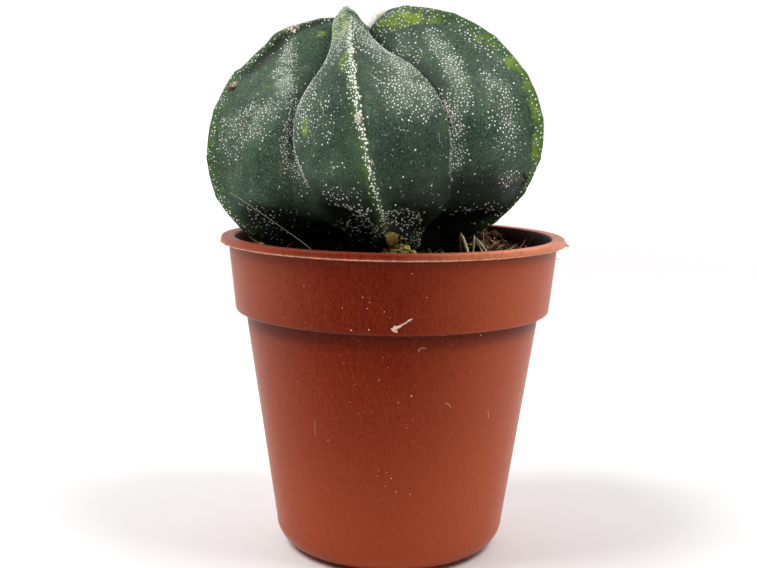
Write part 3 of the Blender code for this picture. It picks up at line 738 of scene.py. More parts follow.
class Stem:
    """The stem's surface as a grid of rings, with each point's share, across, rib and side."""

    def __init__(self):
        columns = 2 * HALF_STEPS * RIB_COUNT
        turn = np.arange(columns) * math.tau / columns
        share = np.linspace(0.0, 1.0, ARC_RINGS + 1)[:-1]
        self.share, self.turn = np.meshgrid(share, turn, indexing="ij")
        self.across = across_share(self.turn)
        self.rib, self.side = rib_place(self.turn)
        valley = ramp(self.across, 0.45, 0.9) * (0.06 + ramp(self.share, 0.46, 0.22))
        points = soften(stem_points(self.turn, self.share), np.clip(valley, 0.0, 1.0), VALLEY_ROUNDS)
        self.points = in_stem_frame(points)
        self.normals = grid_normals(self.points)

    def at(self, rib, side, share, across):
        """The surface's place and its way out at a place on a rib's flank."""
        ring = np.clip(np.round(np.asarray(share) * ARC_RINGS).astype(int), 0, ARC_RINGS - 1)
        off = np.abs(self.across[0] - np.asarray(across)[..., None])
        off = off + ELSEWHERE * ((self.rib[0] != rib) | (self.side[0] != side))
        column = np.argmin(off, axis=-1)
        return self.points[ring, column], self.normals[ring, column]

    def patches(self, rows):
        return patches(rows, self.share, self.across, self.rib, self.side)

    def root(self):
        """The rings of the hidden root, from its tip up to the first ring of the surface."""
        share = np.linspace(0.0, 1.0, ROOT_RINGS + 1)[1:]
        turn = self.turn[0][None, :]
        radii = along(ROOT_RADII, share)[:, None] * MM
        heights = along(ROOT_HEIGHTS, share)[:, None] * MM
        return in_stem_frame(polar(radii, turn, heights))


def hidden(stem):
    """1 on the faces that the photograph doesn't show, and 0 on the others."""
    return 1.0 - (by_left_furrow(stem.rib, stem.side) | by_right_furrow(stem.rib, stem.side))


def grid_noise(stem, size, seed):
    """Smooth noise between about -1 and 1 over the stem's grid, whose lumps are size across."""
    shift = Vector((seed, 0.0, 0.0))
    values = [noise.noise(Vector(point) / size + shift) for point in stem.points.reshape(-1, 3)]
    return np.reshape(values, stem.share.shape)


def fleck_field(stem):
    """How thickly the flecks stand at each point of the grid, where 1 is a full cover."""
    drift = grid_noise(stem, 9.0 * MM, 3.0)
    patchy = 0.65 + 0.9 * grid_noise(stem, 2.0 * MM, 11.0)
    # The hidden faces have a slanting band each, and flecks along the furrow, the foot and the crown.
    bands = bell(stem.across - 0.62 + 1.4 * (stem.share - 0.58), 0.16)
    bands = bands * ramp(stem.share, 0.3, 0.45) + 0.9 * ramp(stem.across, 0.8, 0.97)
    bands += 0.7 * ramp(stem.share, 0.26, 0.18) * ramp(stem.across, 0.85, 0.6)
    bands += 0.8 * ramp(stem.share, 0.8, 0.92)
    field = stem.patches(FLECK_PATCHES) + 1.3 * hidden(stem) * bands * ramp(drift, -0.45, 0.25)
    # The row along each rib's edge is broad on the front rib's left and narrow on its right.
    front = stem.rib == FRONT_RIB
    width = np.where(front, 0.036 + 0.095 * ramp(stem.share, 0.4, 0.6), 0.06)
    width = np.where(front & (stem.side > 0.0), 0.012, width)
    edge = bell(stem.across, width) * np.array(EDGE_FLECKS)[stem.rib]
    field = field * np.clip(patchy, 0.15, 1.3) + edge * ramp(stem.share, 0.08, 0.14)
    return np.clip(field + 0.006, 0.0, 2.2)


def skin_values(stem):
    """The masks that colour the skin, as named numbers for each point of the grid."""
    share, across = stem.share, stem.across
    mottle = grid_noise(stem, 1.3 * MM, 40.0) * 0.5
    margin = bell(across, 0.1) * ramp(share, 0.22, 0.32)
    yellow = stem.patches(YELLOW_PATCHES) + 0.55 * hidden(stem) * margin
    # Painted shade in the hollows where the foot forms pinch a face in.
    hollow_shade = np.clip(-0.45 * stem.patches(FOOT_FORMS), 0.0, 1.0)
    front = stem.rib == FRONT_RIB
    margins = np.where(front, 0.15, 0.09)
    crest = (stem.rib == LEFT_RIB) & (stem.side > 0.0)
    # A painted shadow: a dark band just under the left rib's crest.
    under_crest_shadow = bell(across - 0.11, 0.06) * ramp(share, 0.62, 0.68)
    # Painted shade: the flanks are darker low down and in the shade patches, with some random tone.
    shade = stem.patches(PAINTED_SHADE_PATCHES) + 0.9 * ramp(share, 0.32, 0.16) * ramp(across, 0.02, 0.15)
    shade = shade + 1.5 * crest * under_crest_shadow
    return {
        "field": fleck_field(stem),
        "yellow": np.clip(yellow + 0.45 * mottle * (0.2 + yellow), 0.0, 1.0),
        # Painted shade at the foot: in its hollows, and all round next to the soil.
        "foot": np.maximum(hollow_shade, 0.8 * ramp(share, 0.1, 0.03)),
        "shade": np.clip(shade + 0.25 * mottle, 0.0, 1.0),
        # Painted shade along the furrows, from about a third of the way up.
        "furrow": ramp(across, 0.8, 1.0) * ramp(share, 0.25, 0.4),
        "edge": bell(across, margins) * (1.0 - front * (stem.side > 0.0)),
    }


def stem_paint():
    """Grey-green skin: mottled, bloomed where flecks crowd, yellow at the margins, and painted dark as shade
    along the furrows, low on the flanks and at the foot.
    """
    paint = Paint("stem_skin")
    mottle = paint.noise(3.5 * MM, detail=4.0, rough=0.6)
    grain = paint.noise(0.28 * MM, detail=3.0, rough=0.7)
    blotches = paint.noise(1.6 * MM, detail=4.0, rough=0.7)
    pale = paint.ramp(paint.cells(0.42 * MM), 0.26, 0.14)
    skin = paint.mix(paint.ramp(mottle, 0.3, 0.72), srgb(27, 50, 36), srgb(57, 82, 61))
    skin = paint.coats(
        skin,
        (paint.ramp(grain, 0.42, 0.68, 0.0, 0.62), 90, 110, 90),
        (paint.ramp(grain, 0.52, 0.3, 0.0, 0.7), 10, 24, 13),
        (paint.times(pale, paint.ramp(mottle, 0.38, 0.62, 0.05, 0.4)), 140, 155, 134),
        (paint.times(paint.attribute("field"), 0.2, clamp=True), 140, 150, 130),
    )
    lime = paint.mix(paint.ramp(mottle, 0.35, 0.65), srgb(84, 120, 28), srgb(150, 170, 58))
    yellow = paint.math("ADD", paint.attribute("yellow"), paint.ramp(blotches, 0.25, 0.75, -0.45, 0.3))
    skin = paint.mix(paint.ramp(yellow, 0.05, 1.05), skin, lime)
    skin = paint.coats(
        skin,
        (paint.times(paint.attribute("edge"), paint.ramp(blotches, 0.3, 0.7, 0.25, 0.75)), 62, 98, 34),
        # Painted shade along the furrows.
        (paint.times(paint.attribute("furrow"), 0.45), 30, 44, 28),
        # Painted shade low on the flanks, in the shade patches and under the left rib's crest.
        (paint.times(paint.attribute("shade"), 0.8), 8, 18, 11),
        # Painted shade in the foot's hollows and next to the soil.
        (paint.times(paint.attribute("foot"), 0.9), 8, 13, 9),
    )
    paint.set(Base_Color=skin, Roughness=paint.ramp(mottle, 0.2, 0.8, 0.46, 0.6), Specular_IOR_Level=0.17)
    paint.bump(paint.math("ADD", paint.times(grain, 0.7), paint.times(mottle, 0.6)), 0.1 * MM, 0.8)
    return paint


def build_stem(stem):
    """The stem's skin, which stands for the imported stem."""
    root = stem.root()
    tips = in_stem_frame(np.array([tip_at(ROOT_HEIGHTS[0] * MM), tip_at(edge_point(1.0, 0)[1])]))
    points, faces = capped(np.concatenate([root, stem.points]), *tips)
    below = np.zeros(root[..., 0].size)
    values = {
        key: np.concatenate([below, grid.ravel(), [0.0, grid[-1].mean()]])
        for key, grid in skin_values(stem).items()
    }
    return new_piece("stem_skin", points, faces, stem_paint(), node="stem", values=values)


def scatter(stem, field, density, spacing, draw, crowds):
    """Random places on the stem, as thick as the field says, and no nearer than the spacing allows."""
    low, high = stem.points[:-1], stem.points[1:]
    width = np.linalg.norm(np.roll(low, -1, axis=1) - low, axis=2)
    area = width * np.linalg.norm(high - low, axis=2)
    weight = (area * field[:-1]).ravel()
    count = int(weight.sum() * density)
    cells = draw.choice(len(weight), size=count, p=weight / weight.sum())
    ring, column = np.divmod(cells, low.shape[1])
    u, v = draw.random(count)[:, None], draw.random(count)[:, None]
    after = (column + 1) % low.shape[1]

    def blend(grid):
        near = grid[ring, column] * (1.0 - u) + grid[ring, after] * u
        far = grid[ring + 1, column] * (1.0 - u) + grid[ring + 1, after] * u
        return near * (1.0 - v) + far * v

    places, normals = blend(stem.points), unit(blend(stem.normals))
    across = blend(stem.across[..., None])[:, 0]
    rib = stem.rib[ring, column]
    by_edge = 0.6 * (rib == FRONT_RIB) * ramp(across, 0.16, 0.1) * ramp(ring / ARC_RINGS, 0.1, 0.2)
    close = stem.patches(crowds)[ring, column] + by_edge
    room = np.asarray(spacing)[rib] * MM * (1.0 - 0.42 * np.clip(close, 0.0, 1.0))
    tree = KDTree(count)
    for i, place in enumerate(places):
        tree.insert(place, i)
    tree.balance()
    taken = np.zeros(count, dtype=bool)
    for i, place in enumerate(places):
        taken[i] = not any(taken[j] for _, j, _ in tree.find_range(place, room[i]))
    return places[taken], normals[taken], rib[taken], across[taken], close[taken]


def across_axes(normals):
    """Two directions at right angles to each normal."""
    flat = unit(np.cross(normals, np.array([0.31, 0.22, 0.93])))
    return flat, np.cross(normals, flat)


def fleck_paint():
    """White wool whose rim thins out to the skin beneath."""
    paint = Paint("fleck_wool")
    warm = paint.attribute("warm")
    wool = paint.mix(warm, srgb(240, 245, 238), srgb(244, 248, 230))
    rim = paint.mix(warm, srgb(110, 126, 108), srgb(150, 164, 112))
    colour = paint.mix(paint.ramp(paint.attribute("core"), 0.0, 0.5), rim, wool)
    paint.set(Base_Color=colour, Roughness=0.85, Specular_IOR_Level=0.2)
    paint.bump(paint.noise(0.08 * MM), 0.03 * MM)
    return paint


def fleck_mesh(name, places, normals, reach, warm, paint, draw, form):
    """Low domes of uneven outline, one at each place, with a ring for each row of the form but its last."""
    flat, other = across_axes(normals)
    count = len(places)
    points, core = [], []
    for level, width, rise in form:
        steps = FLECK_RIM if width else 1
        uneven = 1.0 + 0.2 * draw.standard_normal((count, steps)) * (width > 0.0)
        for k in range(steps):
            turn = k * math.tau / FLECK_RIM
            out = flat * math.cos(turn) + other * math.sin(turn)
            size = (reach * width * uneven[:, k])[:, None]
            points.append(places + out * size + normals * (reach * rise)[:, None])
            core.append(np.full(count, level))
    faces, per = [], len(points)
    for first in range(0, count * per, per):
        for k in range(FLECK_RIM):
            a, b = first + k, first + (k + 1) % FLECK_RIM
            for _ in form[2:]:
                faces.append((a, b, b + FLECK_RIM, a + FLECK_RIM))
                a, b = a + FLECK_RIM, b + FLECK_RIM
            faces.append((a, b, first + per - 1))
    values = {"core": np.stack(core, axis=1), "warm": np.repeat(warm, per)}
    return new_piece(name, np.stack(points, axis=1).reshape(-1, 3), faces, paint, values=values)


def build_flecks(stem, field):
    """The white woolly flecks, larger along the front rib's edge, and the powder of fine ones."""
    draw = np.random.default_rng(SEED)
    paint = fleck_paint()
    places, normals, rib, across, close = scatter(stem, field, FLECK_DENSITY, FLECK_SPACES, draw, CROWDS)
    height = places[:, 2]
    ridge = bell(across, 0.13) * (rib == FRONT_RIB) * ramp(height, *RIDGE_START)
    warm = np.minimum(ridge + 0.5 * bell(across, 0.05), 1.0)
    ridge_gain = 0.048 * ridge * (1.0 + 0.9 * ramp(height, *RIDGE_GROWTH))
    reach = (0.085 + 0.115 * draw.random(len(places)) ** 0.8 + ridge_gain) * MM
    reach = reach * np.array(FLECK_SIZES)[rib] * (1.0 - 0.25 * close * (1.0 - ridge))
    reach = reach * (1.0 + 0.22 * ramp(height, *LARGE_FOOT) * (1.0 - ridge))
    fleck_mesh("flecks", places, normals, reach, warm, paint, draw, FLECK_FORM)
    height = stem.points[..., 2]
    fine = np.minimum(0.05 + 0.75 * np.sqrt(field), 0.8)
    for span in (POWDER_TOP, POWDER_FOOT):
        fine = fine * (1.0 - 0.7 * ramp(height, *span))
    places, normals, *_ = scatter(stem, fine, POWDER_DENSITY, POWDER_SPACES, draw, {})
    reach = (0.035 + 0.035 * draw.random(len(places))) * MM
    fleck_mesh("powder", places, normals, reach, np.zeros(len(places)), paint, draw, POWDER_FORM)


def grain_paint(name, size, depth, middle, shades, pit_share):
    """Grains of a dark, a brown or a pale shade, by each one's own tint, darker where their bump is low."""
    paint = Paint(name)
    fine = paint.noise(size, detail=3.0, rough=0.7)
    tint = paint.attribute("tint")
    dark, brown, pale, pit_colour = shades
    colour = paint.coats(
        srgb(*dark),
        (paint.ramp(tint, 0.0, middle), *brown),
        (paint.ramp(tint, middle, 1.0), *pale),
        (paint.ramp(fine, 0.6, 0.3, 0.0, pit_share), *pit_colour),
    )
    paint.set(Base_Color=colour, Roughness=0.9, Specular_IOR_Level=0.2)
    paint.bump(fine, depth)
    return paint


def tinted_paint(name, low, high, roughness):
    """A plain material between two shades, by each grain's or hair's own tint."""
    paint = Paint(name)
    paint.set(Base_Color=paint.mix(paint.attribute("tint"), srgb(*low), srgb(*high)))
    paint.set(Roughness=roughness, Specular_IOR_Level=0.2)
    return paint


def cork_paint():
    """Dry scars and crusts, from dark red-brown over orange-brown to pale cork."""
    shades = ((52, 40, 30), (150, 112, 82), (250, 243, 234), (52, 40, 32))
    return grain_paint("cork", 0.15 * MM, 0.08 * MM, 0.4, shades, 0.3)


def build_marks(stem, draw):
    """The scars and crusts: flat grains pressed into the skin, and fine scratches."""
    paint = cork_paint()
    grains = []
    for face, share, across, long, wide, slant, count, size, tint in MARKS:
        shares = share + long * draw.standard_normal(count)
        offsets = across + wide * draw.standard_normal(count) + slant * (shares - share)
        spots, _ = stem.at(*face, shares, np.clip(offsets, 0.0, 1.0))
        sizes = size * (0.5 + 0.8 * draw.random(count)) * MM
        tints = np.clip(tint + 0.12 * draw.standard_normal(count), 0.0, 1.0)
        grains += zip(spots, sizes, tints)
    build_crumbs("scars", grains, paint, draw, flat=0.5)
    strands = []
    for face, share, across, last_share, last_across, width, tint in SCRATCHES:
        u = np.linspace(0.0, 1.0, 12)
        wave = 0.008 * np.sin(math.tau * u + draw.uniform(0.0, 6.0))
        shares = share + (last_share - share) * u
        spots, ways = stem.at(*face, shares, across + (last_across - across) * u + wave)
        strands.append((spots + 0.02 * MM * ways, 0.6 * width * MM, tint))
    build_strands("scratches", strands, paint)


def wool_paint():
    """Fine wool, from brown to cream."""
    return tinted_paint("wool", (70, 46, 30), (246, 240, 226), 0.8)


def build_wool(stem, draw):
    """The tufts of short curled hairs on the areoles and in the crown, and one long loose hair."""
    small = [((rib, 1), share, *SMALL_TUFT) for rib in range(RIB_COUNT) for share in TUFT_SHARES]
    strands = []
    for face, share, across, reach, count, length, tint in (*TUFTS, *small):
        place, normal = stem.at(*face, share, across)
        flat, other = across_axes(normal[None])
        for _ in range(count):
            off = draw.standard_normal(2) * 0.45 * reach * MM
            start = place + off[0] * flat[0] + off[1] * other[0] - 0.05 * MM * normal
            way = normal * 0.8 + draw.standard_normal(3) * 0.75
            path = curl(start, way, length * draw.uniform(0.5, 1.2) * MM, 1.6, draw, steps=4)
            width = draw.uniform(0.035, 0.075) * MM
            strands.append((path, width, np.clip(tint + 0.15 * draw.standard_normal(), 0.0, 1.0)))
    build_strands("wool", strands, wool_paint(), sides=3)
    path = []
    for share, across in HAIR_START:
        place, normal = stem.at(*LEFT_FACE, share, across)
        path.append(place + 0.3 * MM * normal)
    path += [np.array(place) * MM for place in HAIR_END]
    path = along(path, np.linspace(0.0, 1.0, 40))
    build_strands("loose_hair", [(path, 0.06 * MM, 0.5)], wool_paint(), sides=5)


def arc(centre, radius, start, end, steps):
    """Corners of (radius, height, rounding) along an arc, with the angles in degrees."""
    corners = []
    for i in range(steps + 1):
        angle = math.radians(start + (end - start) * i / steps)
        place = (centre[0] + radius * math.cos(angle), centre[1] + radius * math.sin(angle))
        corners.append((*place, 0.0))
    return corners


def rounded(corners, longest, steps=4):
    """A line through corners of (radius, height, rounding), with no stretch longer than longest."""
    line = [np.array(corners[0][:2])]
    for before, corner, after in zip(corners, corners[1:], corners[2:]):
        place = np.array(corner[:2])
        if not corner[2]:
            line.append(place)
            continue
        ends = []
        for other in (before, after):
            way = np.array(other[:2]) - place
            ends.append(place + way * min(corner[2] / np.linalg.norm(way), 0.45))
        for i in range(steps + 1):
            u = i / steps
            line.append((1.0 - u) ** 2 * ends[0] + 2.0 * u * (1.0 - u) * place + u * u * ends[1])
    line.append(np.array(corners[-1][:2]))
    fine = line[:1]
    for a, b in zip(line, line[1:]):
        pieces = max(1, math.ceil(np.linalg.norm(b - a) / longest))
        fine += [a + (b - a) * i / pieces for i in range(1, pieces + 1)]
    return np.array(fine)


def edges(*corners):
    """Corners of (radius, height) with the usual rounding."""
    return [(*corner, EDGE_ROUND) for corner in corners]


def pot_corners():
    """The pot's section: up the inside from the floor's centre, over the lip, down the outside."""
    foot = POT_HEIGHT - COLLAR_HEIGHT
    heel = (BODY_BOTTOM_RADIUS - HEEL_RADIUS, HEEL_RADIUS)
    raised = WALL + FOOT_RELIEF
    under_lip = POT_HEIGHT - LIP_THICKNESS
    return [
        (0.0, WALL, 0.0),
        *edges(
            (CENTRE_PAD_RADIUS - WALL, WALL),
            (CENTRE_PAD_RADIUS, raised),
            (FOOT_INNER_RADIUS, raised),
            (FOOT_INNER_RADIUS + WALL, WALL),
        ),
        *arc(heel, HEEL_RADIUS - WALL, -90, 0, 10),
        *edges(
            (BODY_TOP_RADIUS - WALL, foot - 0.5 * STEP_DROP),
            (COLLAR_BOTTOM_RADIUS - WALL, foot + WALL),
        ),
        (COLLAR_TOP_RADIUS - WALL, POT_HEIGHT, LIP_ROUND),
        (LIP_RADIUS, POT_HEIGHT, LIP_ROUND),
        (LIP_RADIUS, under_lip + FLASH_HEIGHT, 0.0),
        (LIP_RADIUS, under_lip, 0.0),
        (LIP_RADIUS - FLASH_HEIGHT, under_lip - 0.5 * FLASH_HEIGHT, 0.0),
        *edges(
            (COLLAR_TOP_RADIUS, under_lip - LIP_ROUND),
            (COLLAR_BOTTOM_RADIUS, foot + 0.2 * MM),
            (COLLAR_BOTTOM_RADIUS - STEP_DROP, foot - 0.1 * MM),
            (BODY_TOP_RADIUS, foot - 0.2 * MM),
        ),
        *arc(heel, HEEL_RADIUS, 0, -90, 14),
        *edges(
            (FOOT_INNER_RADIUS, 0.0),
            (FOOT_INNER_RADIUS, FOOT_RELIEF),
            (CENTRE_PAD_RADIUS, FOOT_RELIEF),
            (CENTRE_PAD_RADIUS, 0.0),
        ),
        (0.0, 0.0, 0.0),
    ]


def pot_paint():
    """Satin terracotta plastic: fine upright streaks, a little dust, painted light on the wall's foot and
    sides, painted shade inside and under the lip and the collar's step, and a painted highlight along the
    flash at the lip.
    """
    paint = Paint("pot_plastic")
    streaks = paint.noise(0.35 * MM, detail=3.0, upright=0.045)
    broad = paint.noise(16.0 * MM, detail=2.0)
    grain = paint.noise(0.12 * MM, detail=2.0, rough=0.7)
    broken = paint.noise(0.8 * MM, detail=4.0, rough=0.7)
    leather = paint.noise(0.26 * MM, detail=2.0, rough=0.6, upright=0.5)
    specks = paint.ramp(paint.cells(1.1 * MM), 0.075, 0.045)
    height, sideways = paint.axis("Z"), paint.axis("X")
    worn = paint.times(paint.ramp(height, 49.6 * MM, 50.6 * MM), paint.ramp(broken, 0.15, 0.6))
    flash = paint.times(paint.attribute("flash"), paint.ramp(streaks, 0.35, 0.55, 0.45, 1.0))
    colour = paint.coats(
        srgb(98, 21, 3),
        (paint.ramp(broad, 0.3, 0.7), 112, 28, 5),
        (paint.ramp(streaks, 0.3, 0.7, 0.0, 0.28), 142, 50, 22),
        # The wall is painted paler towards its foot, as light from the floor, and towards its sides, more at
        # the right, as painted light. The lip is worn, and its wear is painted paler towards the right as
        # light.
        (paint.ramp(height, 38.0 * MM, 2.0 * MM, 0.0, 0.75), 172, 78, 44),
        (paint.ramp(sideways, -2.0 * MM, 26.0 * MM, 0.0, 0.66), 194, 98, 62),
        (paint.ramp(sideways, -6.0 * MM, -26.0 * MM, 0.0, 0.45), 172, 92, 64),
        # The lip's pale wear, painted paler towards the right as light.
        (paint.times(worn, paint.ramp(sideways, -2.0 * MM, 24.0 * MM, 0.0, 0.95)), 224, 140, 104),
        # Painted shade under the lip and under the collar's step.
        (paint.times(paint.attribute("under"), 0.85), 46, 8, 2),
        (paint.ramp(grain, 0.6, 0.3, 0.0, 0.22), 92, 18, 4),
        (paint.ramp(leather, 0.45, 0.75, 0.0, 0.16), 186, 92, 60),
        (paint.ramp(leather, 0.5, 0.25, 0.0, 0.16), 84, 18, 4),
        (paint.times(specks, paint.ramp(broad, 0.45, 0.62, 0.0, 0.6)), 205, 150, 125),
        # A painted highlight: a pale line along the flash under the lip.
        (flash, 238, 176, 144),
        # Painted shade: the inside wall is darkened nearly to black.
        (paint.times(paint.attribute("inside"), 0.97), 54, 9, 5),
    )
    roughness = paint.ramp(streaks, 0.2, 0.8, 0.36, 0.5)
    paint.set(Base_Color=colour, Roughness=roughness, Specular_IOR_Level=0.12)
    paint.set(Sheen_Weight=0.32, Sheen_Roughness=0.28, Sheen_Tint=srgb(255, 216, 200))
    paint.set(Specular_Tint=srgb(255, 186, 160))
    paint.bump(paint.math("ADD", paint.times(streaks, 0.4), paint.times(leather, 0.8)), 0.05 * MM, 0.55)
    return paint


def build_pot():
    """The turned pot, its section finely rounded, a little out of true, with the ragged flash."""
    profile = rounded(pot_corners(), POT_STEP)
    turn = np.arange(POT_COLUMNS) * math.tau / POT_COLUMNS
    under_lip, step = POT_HEIGHT - LIP_THICKNESS, POT_HEIGHT - COLLAR_HEIGHT
    ragged = [noise.noise(Vector((60.0 * math.cos(t), 60.0 * math.sin(t), 0.0))) for t in turn]
    ragged = FLASH_REACH * (0.55 + 1.3 * np.clip(ragged, -0.4, 0.7))
    from_front = (turn + 0.5 * math.pi + math.pi) % math.tau - math.pi
    ragged += FLASH_BULGE * bell(from_front - FLASH_BULGE_AT, FLASH_BULGE_WIDTH)
    lip_ring = int(np.argmax(profile[:, 0]))
    rings, masks = [], []
    for i, (radius, height) in enumerate(profile[1:-1]):
        wave = np.sin(2.0 * turn + 0.8 + height / (30.0 * MM)) * ramp(radius, 0.0, LIP_RADIUS)
        fin = bell(height - under_lip, FLASH_HEIGHT) * (radius > LIP_RADIUS - 0.2 * MM)
        out = radius + OUT_OF_TRUE * wave + ragged * fin
        rings.append(polar(out, turn, height - 0.4 * ragged * fin))
        # Painted shade: the inside wall above the floor's relief is marked to be painted near black.
        inside = i < lip_ring - INSIDE_SHADE_START and WALL + FOOT_RELIEF < height
        # Painted shade: the wall is dark under the lip, and under the collar's step.
        lip_shadow = ramp(height, under_lip - 1.1 * MM, under_lip - 0.3 * MM)
        step_shadow = ramp(height, step - 3.2 * MM, step - 0.2 * MM) * (height < step + 0.15 * MM)
        masks.append((fin**3, inside, (i > lip_ring) * max(lip_shadow, step_shadow)))
    values = {
        name: np.append(np.repeat(mask, POT_COLUMNS), [0.0, 0.0])
        for name, mask in zip(("flash", "inside", "under"), zip(*masks))
    }
    points, faces = capped(rings, tip_at(profile[0][1]), tip_at(profile[-1][1]), flip=True)
    pot = new_piece("pot_shell", points, faces, pot_paint(), node="pot", values=values)
    cut_drains(pot)


def cut_drains(pot):
    """Cuts the ring of drain holes through the pot's floor."""
    bm = bmesh.new()
    ring = 0.5 * (CENTRE_PAD_RADIUS + FOOT_INNER_RADIUS)
    form = {"segments": 32, "radius1": DRAIN_RADIUS, "radius2": DRAIN_RADIUS, "depth": DRAIN_DEPTH}
    for i in range(DRAIN_COUNT):
        angle = math.tau * (i + 0.5) / DRAIN_COUNT
        place = Matrix.Translation((ring * math.cos(angle), ring * math.sin(angle), WALL))
        bmesh.ops.create_cone(bm, cap_ends=True, matrix=place, **form)
    mesh = bpy.data.meshes.new("drain_cutter")
    bm.to_mesh(mesh)
    bm.free()
    cutter = placed("drain_cutter", mesh)
    modifier = pot.modifiers.new("drains", "BOOLEAN")
    modifier.operation = "DIFFERENCE"
    modifier.solver = "EXACT"
    modifier.object = cutter
    graph = bpy.context.evaluated_depsgraph_get()
    cut = bpy.data.meshes.new_from_object(pot.evaluated_get(graph))
    pot.modifiers.clear()
    pot.data = cut
    cut.shade_smooth()
    cut.set_sharp_from_angle(angle=math.radians(50.0))
    bpy.data.objects.remove(cutter)


def outer_radius(height):
    """The radius of the pot's outer wall at a height above its heel."""
    foot = POT_HEIGHT - COLLAR_HEIGHT
    if height > foot:
        low, high, share = COLLAR_BOTTOM_RADIUS, COLLAR_TOP_RADIUS, (height - foot) / COLLAR_HEIGHT
    else:
        low, high, share = BODY_BOTTOM_RADIUS, BODY_TOP_RADIUS, (height - HEEL_RADIUS) / (foot - HEEL_RADIUS)
    return low + (high - low) * share


SOIL_RADIUS = outer_radius(SOIL_LEVEL) - WALL - GAP


def soil_height(x, y):
    """The soil's lumpy top, lower along the pot's wall: the packed soil's height, with clods on it."""
    place = Vector((x, y, 0.0))
    broad = place / (6.0 * MM)
    lumps = noise.noise(broad) + 0.5 * noise.noise(broad * 2.3)
    edge = math.hypot(x, y) / SOIL_RADIUS
    height = SOIL_LEVEL + SOIL_LUMP * (lumps - 1.1 * edge**4)
    for heap_x, heap_y, rise, spread in HEAPS:
        away = math.hypot(x / MM - heap_x, y / MM - heap_y) / spread
        height += rise * MM * math.exp(-away * away)
    clod = noise.voronoi(place / (2.1 * MM))[0][0]
    crumb = noise.voronoi(Vector((x, y, 0.4 * MM)) / (0.9 * MM))[0][0]
    height += 0.9 * MM * (0.35 - clod**2) + 0.35 * MM * (0.3 - crumb**2)
    return height + 0.15 * MM * noise.noise(place / (0.35 * MM))


def soil_paint():
    """Dark peat with brown crumbs and a few pale grains."""
    paint = Paint("potting_soil")
    broad = paint.noise(2.4 * MM, detail=4.0, rough=0.65)
    fine = paint.noise(0.35 * MM, detail=3.0, rough=0.7)
    colour = paint.coats(
        srgb(34, 24, 15),
        (paint.ramp(broad, 0.35, 0.7), 86, 62, 38),
        (paint.ramp(fine, 0.48, 0.75, 0.0, 0.7), 122, 92, 58),
        (paint.ramp(paint.cells(0.8 * MM), 0.16, 0.08, 0.0, 0.5), 140, 112, 78),
    )
    paint.set(Base_Color=colour, Roughness=0.95, Specular_IOR_Level=0.15)
    paint.bump(paint.math("ADD", broad, fine), 0.25 * MM)
    return paint


def build_soil(stem):
    """The soil, whose lumpy top dips under the stem and into a pit for its root."""
    turn = np.arange(SOIL_COLUMNS) * math.tau / SOIL_COLUMNS
    below = [point for point in stem.points.reshape(-1, 3) if point[2] < STEM_LOW]
    tree = KDTree(len(below))
    for i, (x, y, _) in enumerate(below):
        tree.insert((x, y, 0.0), i)
    tree.balance()
    rings = []
    for radius in SOIL_RADIUS * (np.arange(1, SOIL_RINGS + 1) / SOIL_RINGS) ** 0.8:
        ring = polar(radius, turn, 0.0)
        for point in ring:
            height = soil_height(point[0], point[1])
            near = tree.find_range((point[0], point[1], 0.0), 0.7 * MM)
            if near:
                height = min(height, min(below[i][2] for _, i, _ in near) - 0.2 * MM)
            pit = STEM_FOOT.z - 1.5 * MM - 1.6 * (PIT_RADIUS - radius)
            point[2] = min(height, max(pit, PIT_FLOOR)) if radius < PIT_RADIUS else height
        rings.append(ring)
    collar_foot = POT_HEIGHT - COLLAR_HEIGHT
    inset = WALL + 1.2 * GAP
    floor = WALL + FOOT_RELIEF + GAP
    heel_top = HEEL_RADIUS + 2.0 * MM
    side = (
        (COLLAR_BOTTOM_RADIUS - inset, collar_foot + 2.0 * WALL),
        (BODY_TOP_RADIUS - inset, collar_foot - STEP_DROP),
        (outer_radius(heel_top) - inset, heel_top),
        (BODY_BOTTOM_RADIUS - 0.8 * HEEL_RADIUS, floor),
    )
    rings += [polar(radius, turn, height) for radius, height in side]
    points, faces = capped(rings, tip_at(PIT_FLOOR), tip_at(floor), flip=True)
    new_piece("soil_bed", points, faces, soil_paint(), node="soil")


def crumb_paint(pale=(226, 200, 140), pit_share=0.6):
    """Crumbs from dark peat over brown to straw, or to another pale shade."""
    shades = ((40, 22, 13), (118, 72, 44), pale, (16, 11, 7))
    return grain_paint("soil_crumb", 0.25 * MM, 0.15 * MM, 0.5, shades, pit_share)


def build_crumbs(name, grains, paint, draw, flat=0.75):
    """Rough lumps, each a ball that is squashed, turned and dented at random: (place, size, tint)."""
    ball = bmesh.new()
    bmesh.ops.create_icosphere(ball, subdivisions=1, radius=1.0)
    corners = np.array([vert.co[:] for vert in ball.verts])
    faces = np.array([[vert.index for vert in face.verts] for face in ball.faces])
    ball.free()
    places, sizes, tints = (np.array(column) for column in zip(*grains))
    count = len(places)
    axes, _ = np.linalg.qr(draw.standard_normal((count, 3, 3)))
    spread = np.array([1.25, 0.95, flat]) * (0.75 + 0.5 * draw.random((count, 3)))
    dents = 1.0 + 0.16 * draw.standard_normal((count, len(corners), 1))
    shapes = np.einsum("nij,nvj->nvi", axes, corners[None] * dents * spread[:, None, :])
    points = places[:, None, :] + shapes * sizes[:, None, None]
    wound = (faces[None] + (np.arange(count) * len(corners))[:, None, None]).reshape(-1, 3)
    mirrored = np.repeat(np.linalg.det(axes) < 0.0, len(faces))
    wound[mirrored] = wound[mirrored][:, ::-1]
    values = {"tint": np.repeat(tints, len(corners))}
    new_piece(name, points.reshape(-1, 3), wound, paint, values=values)


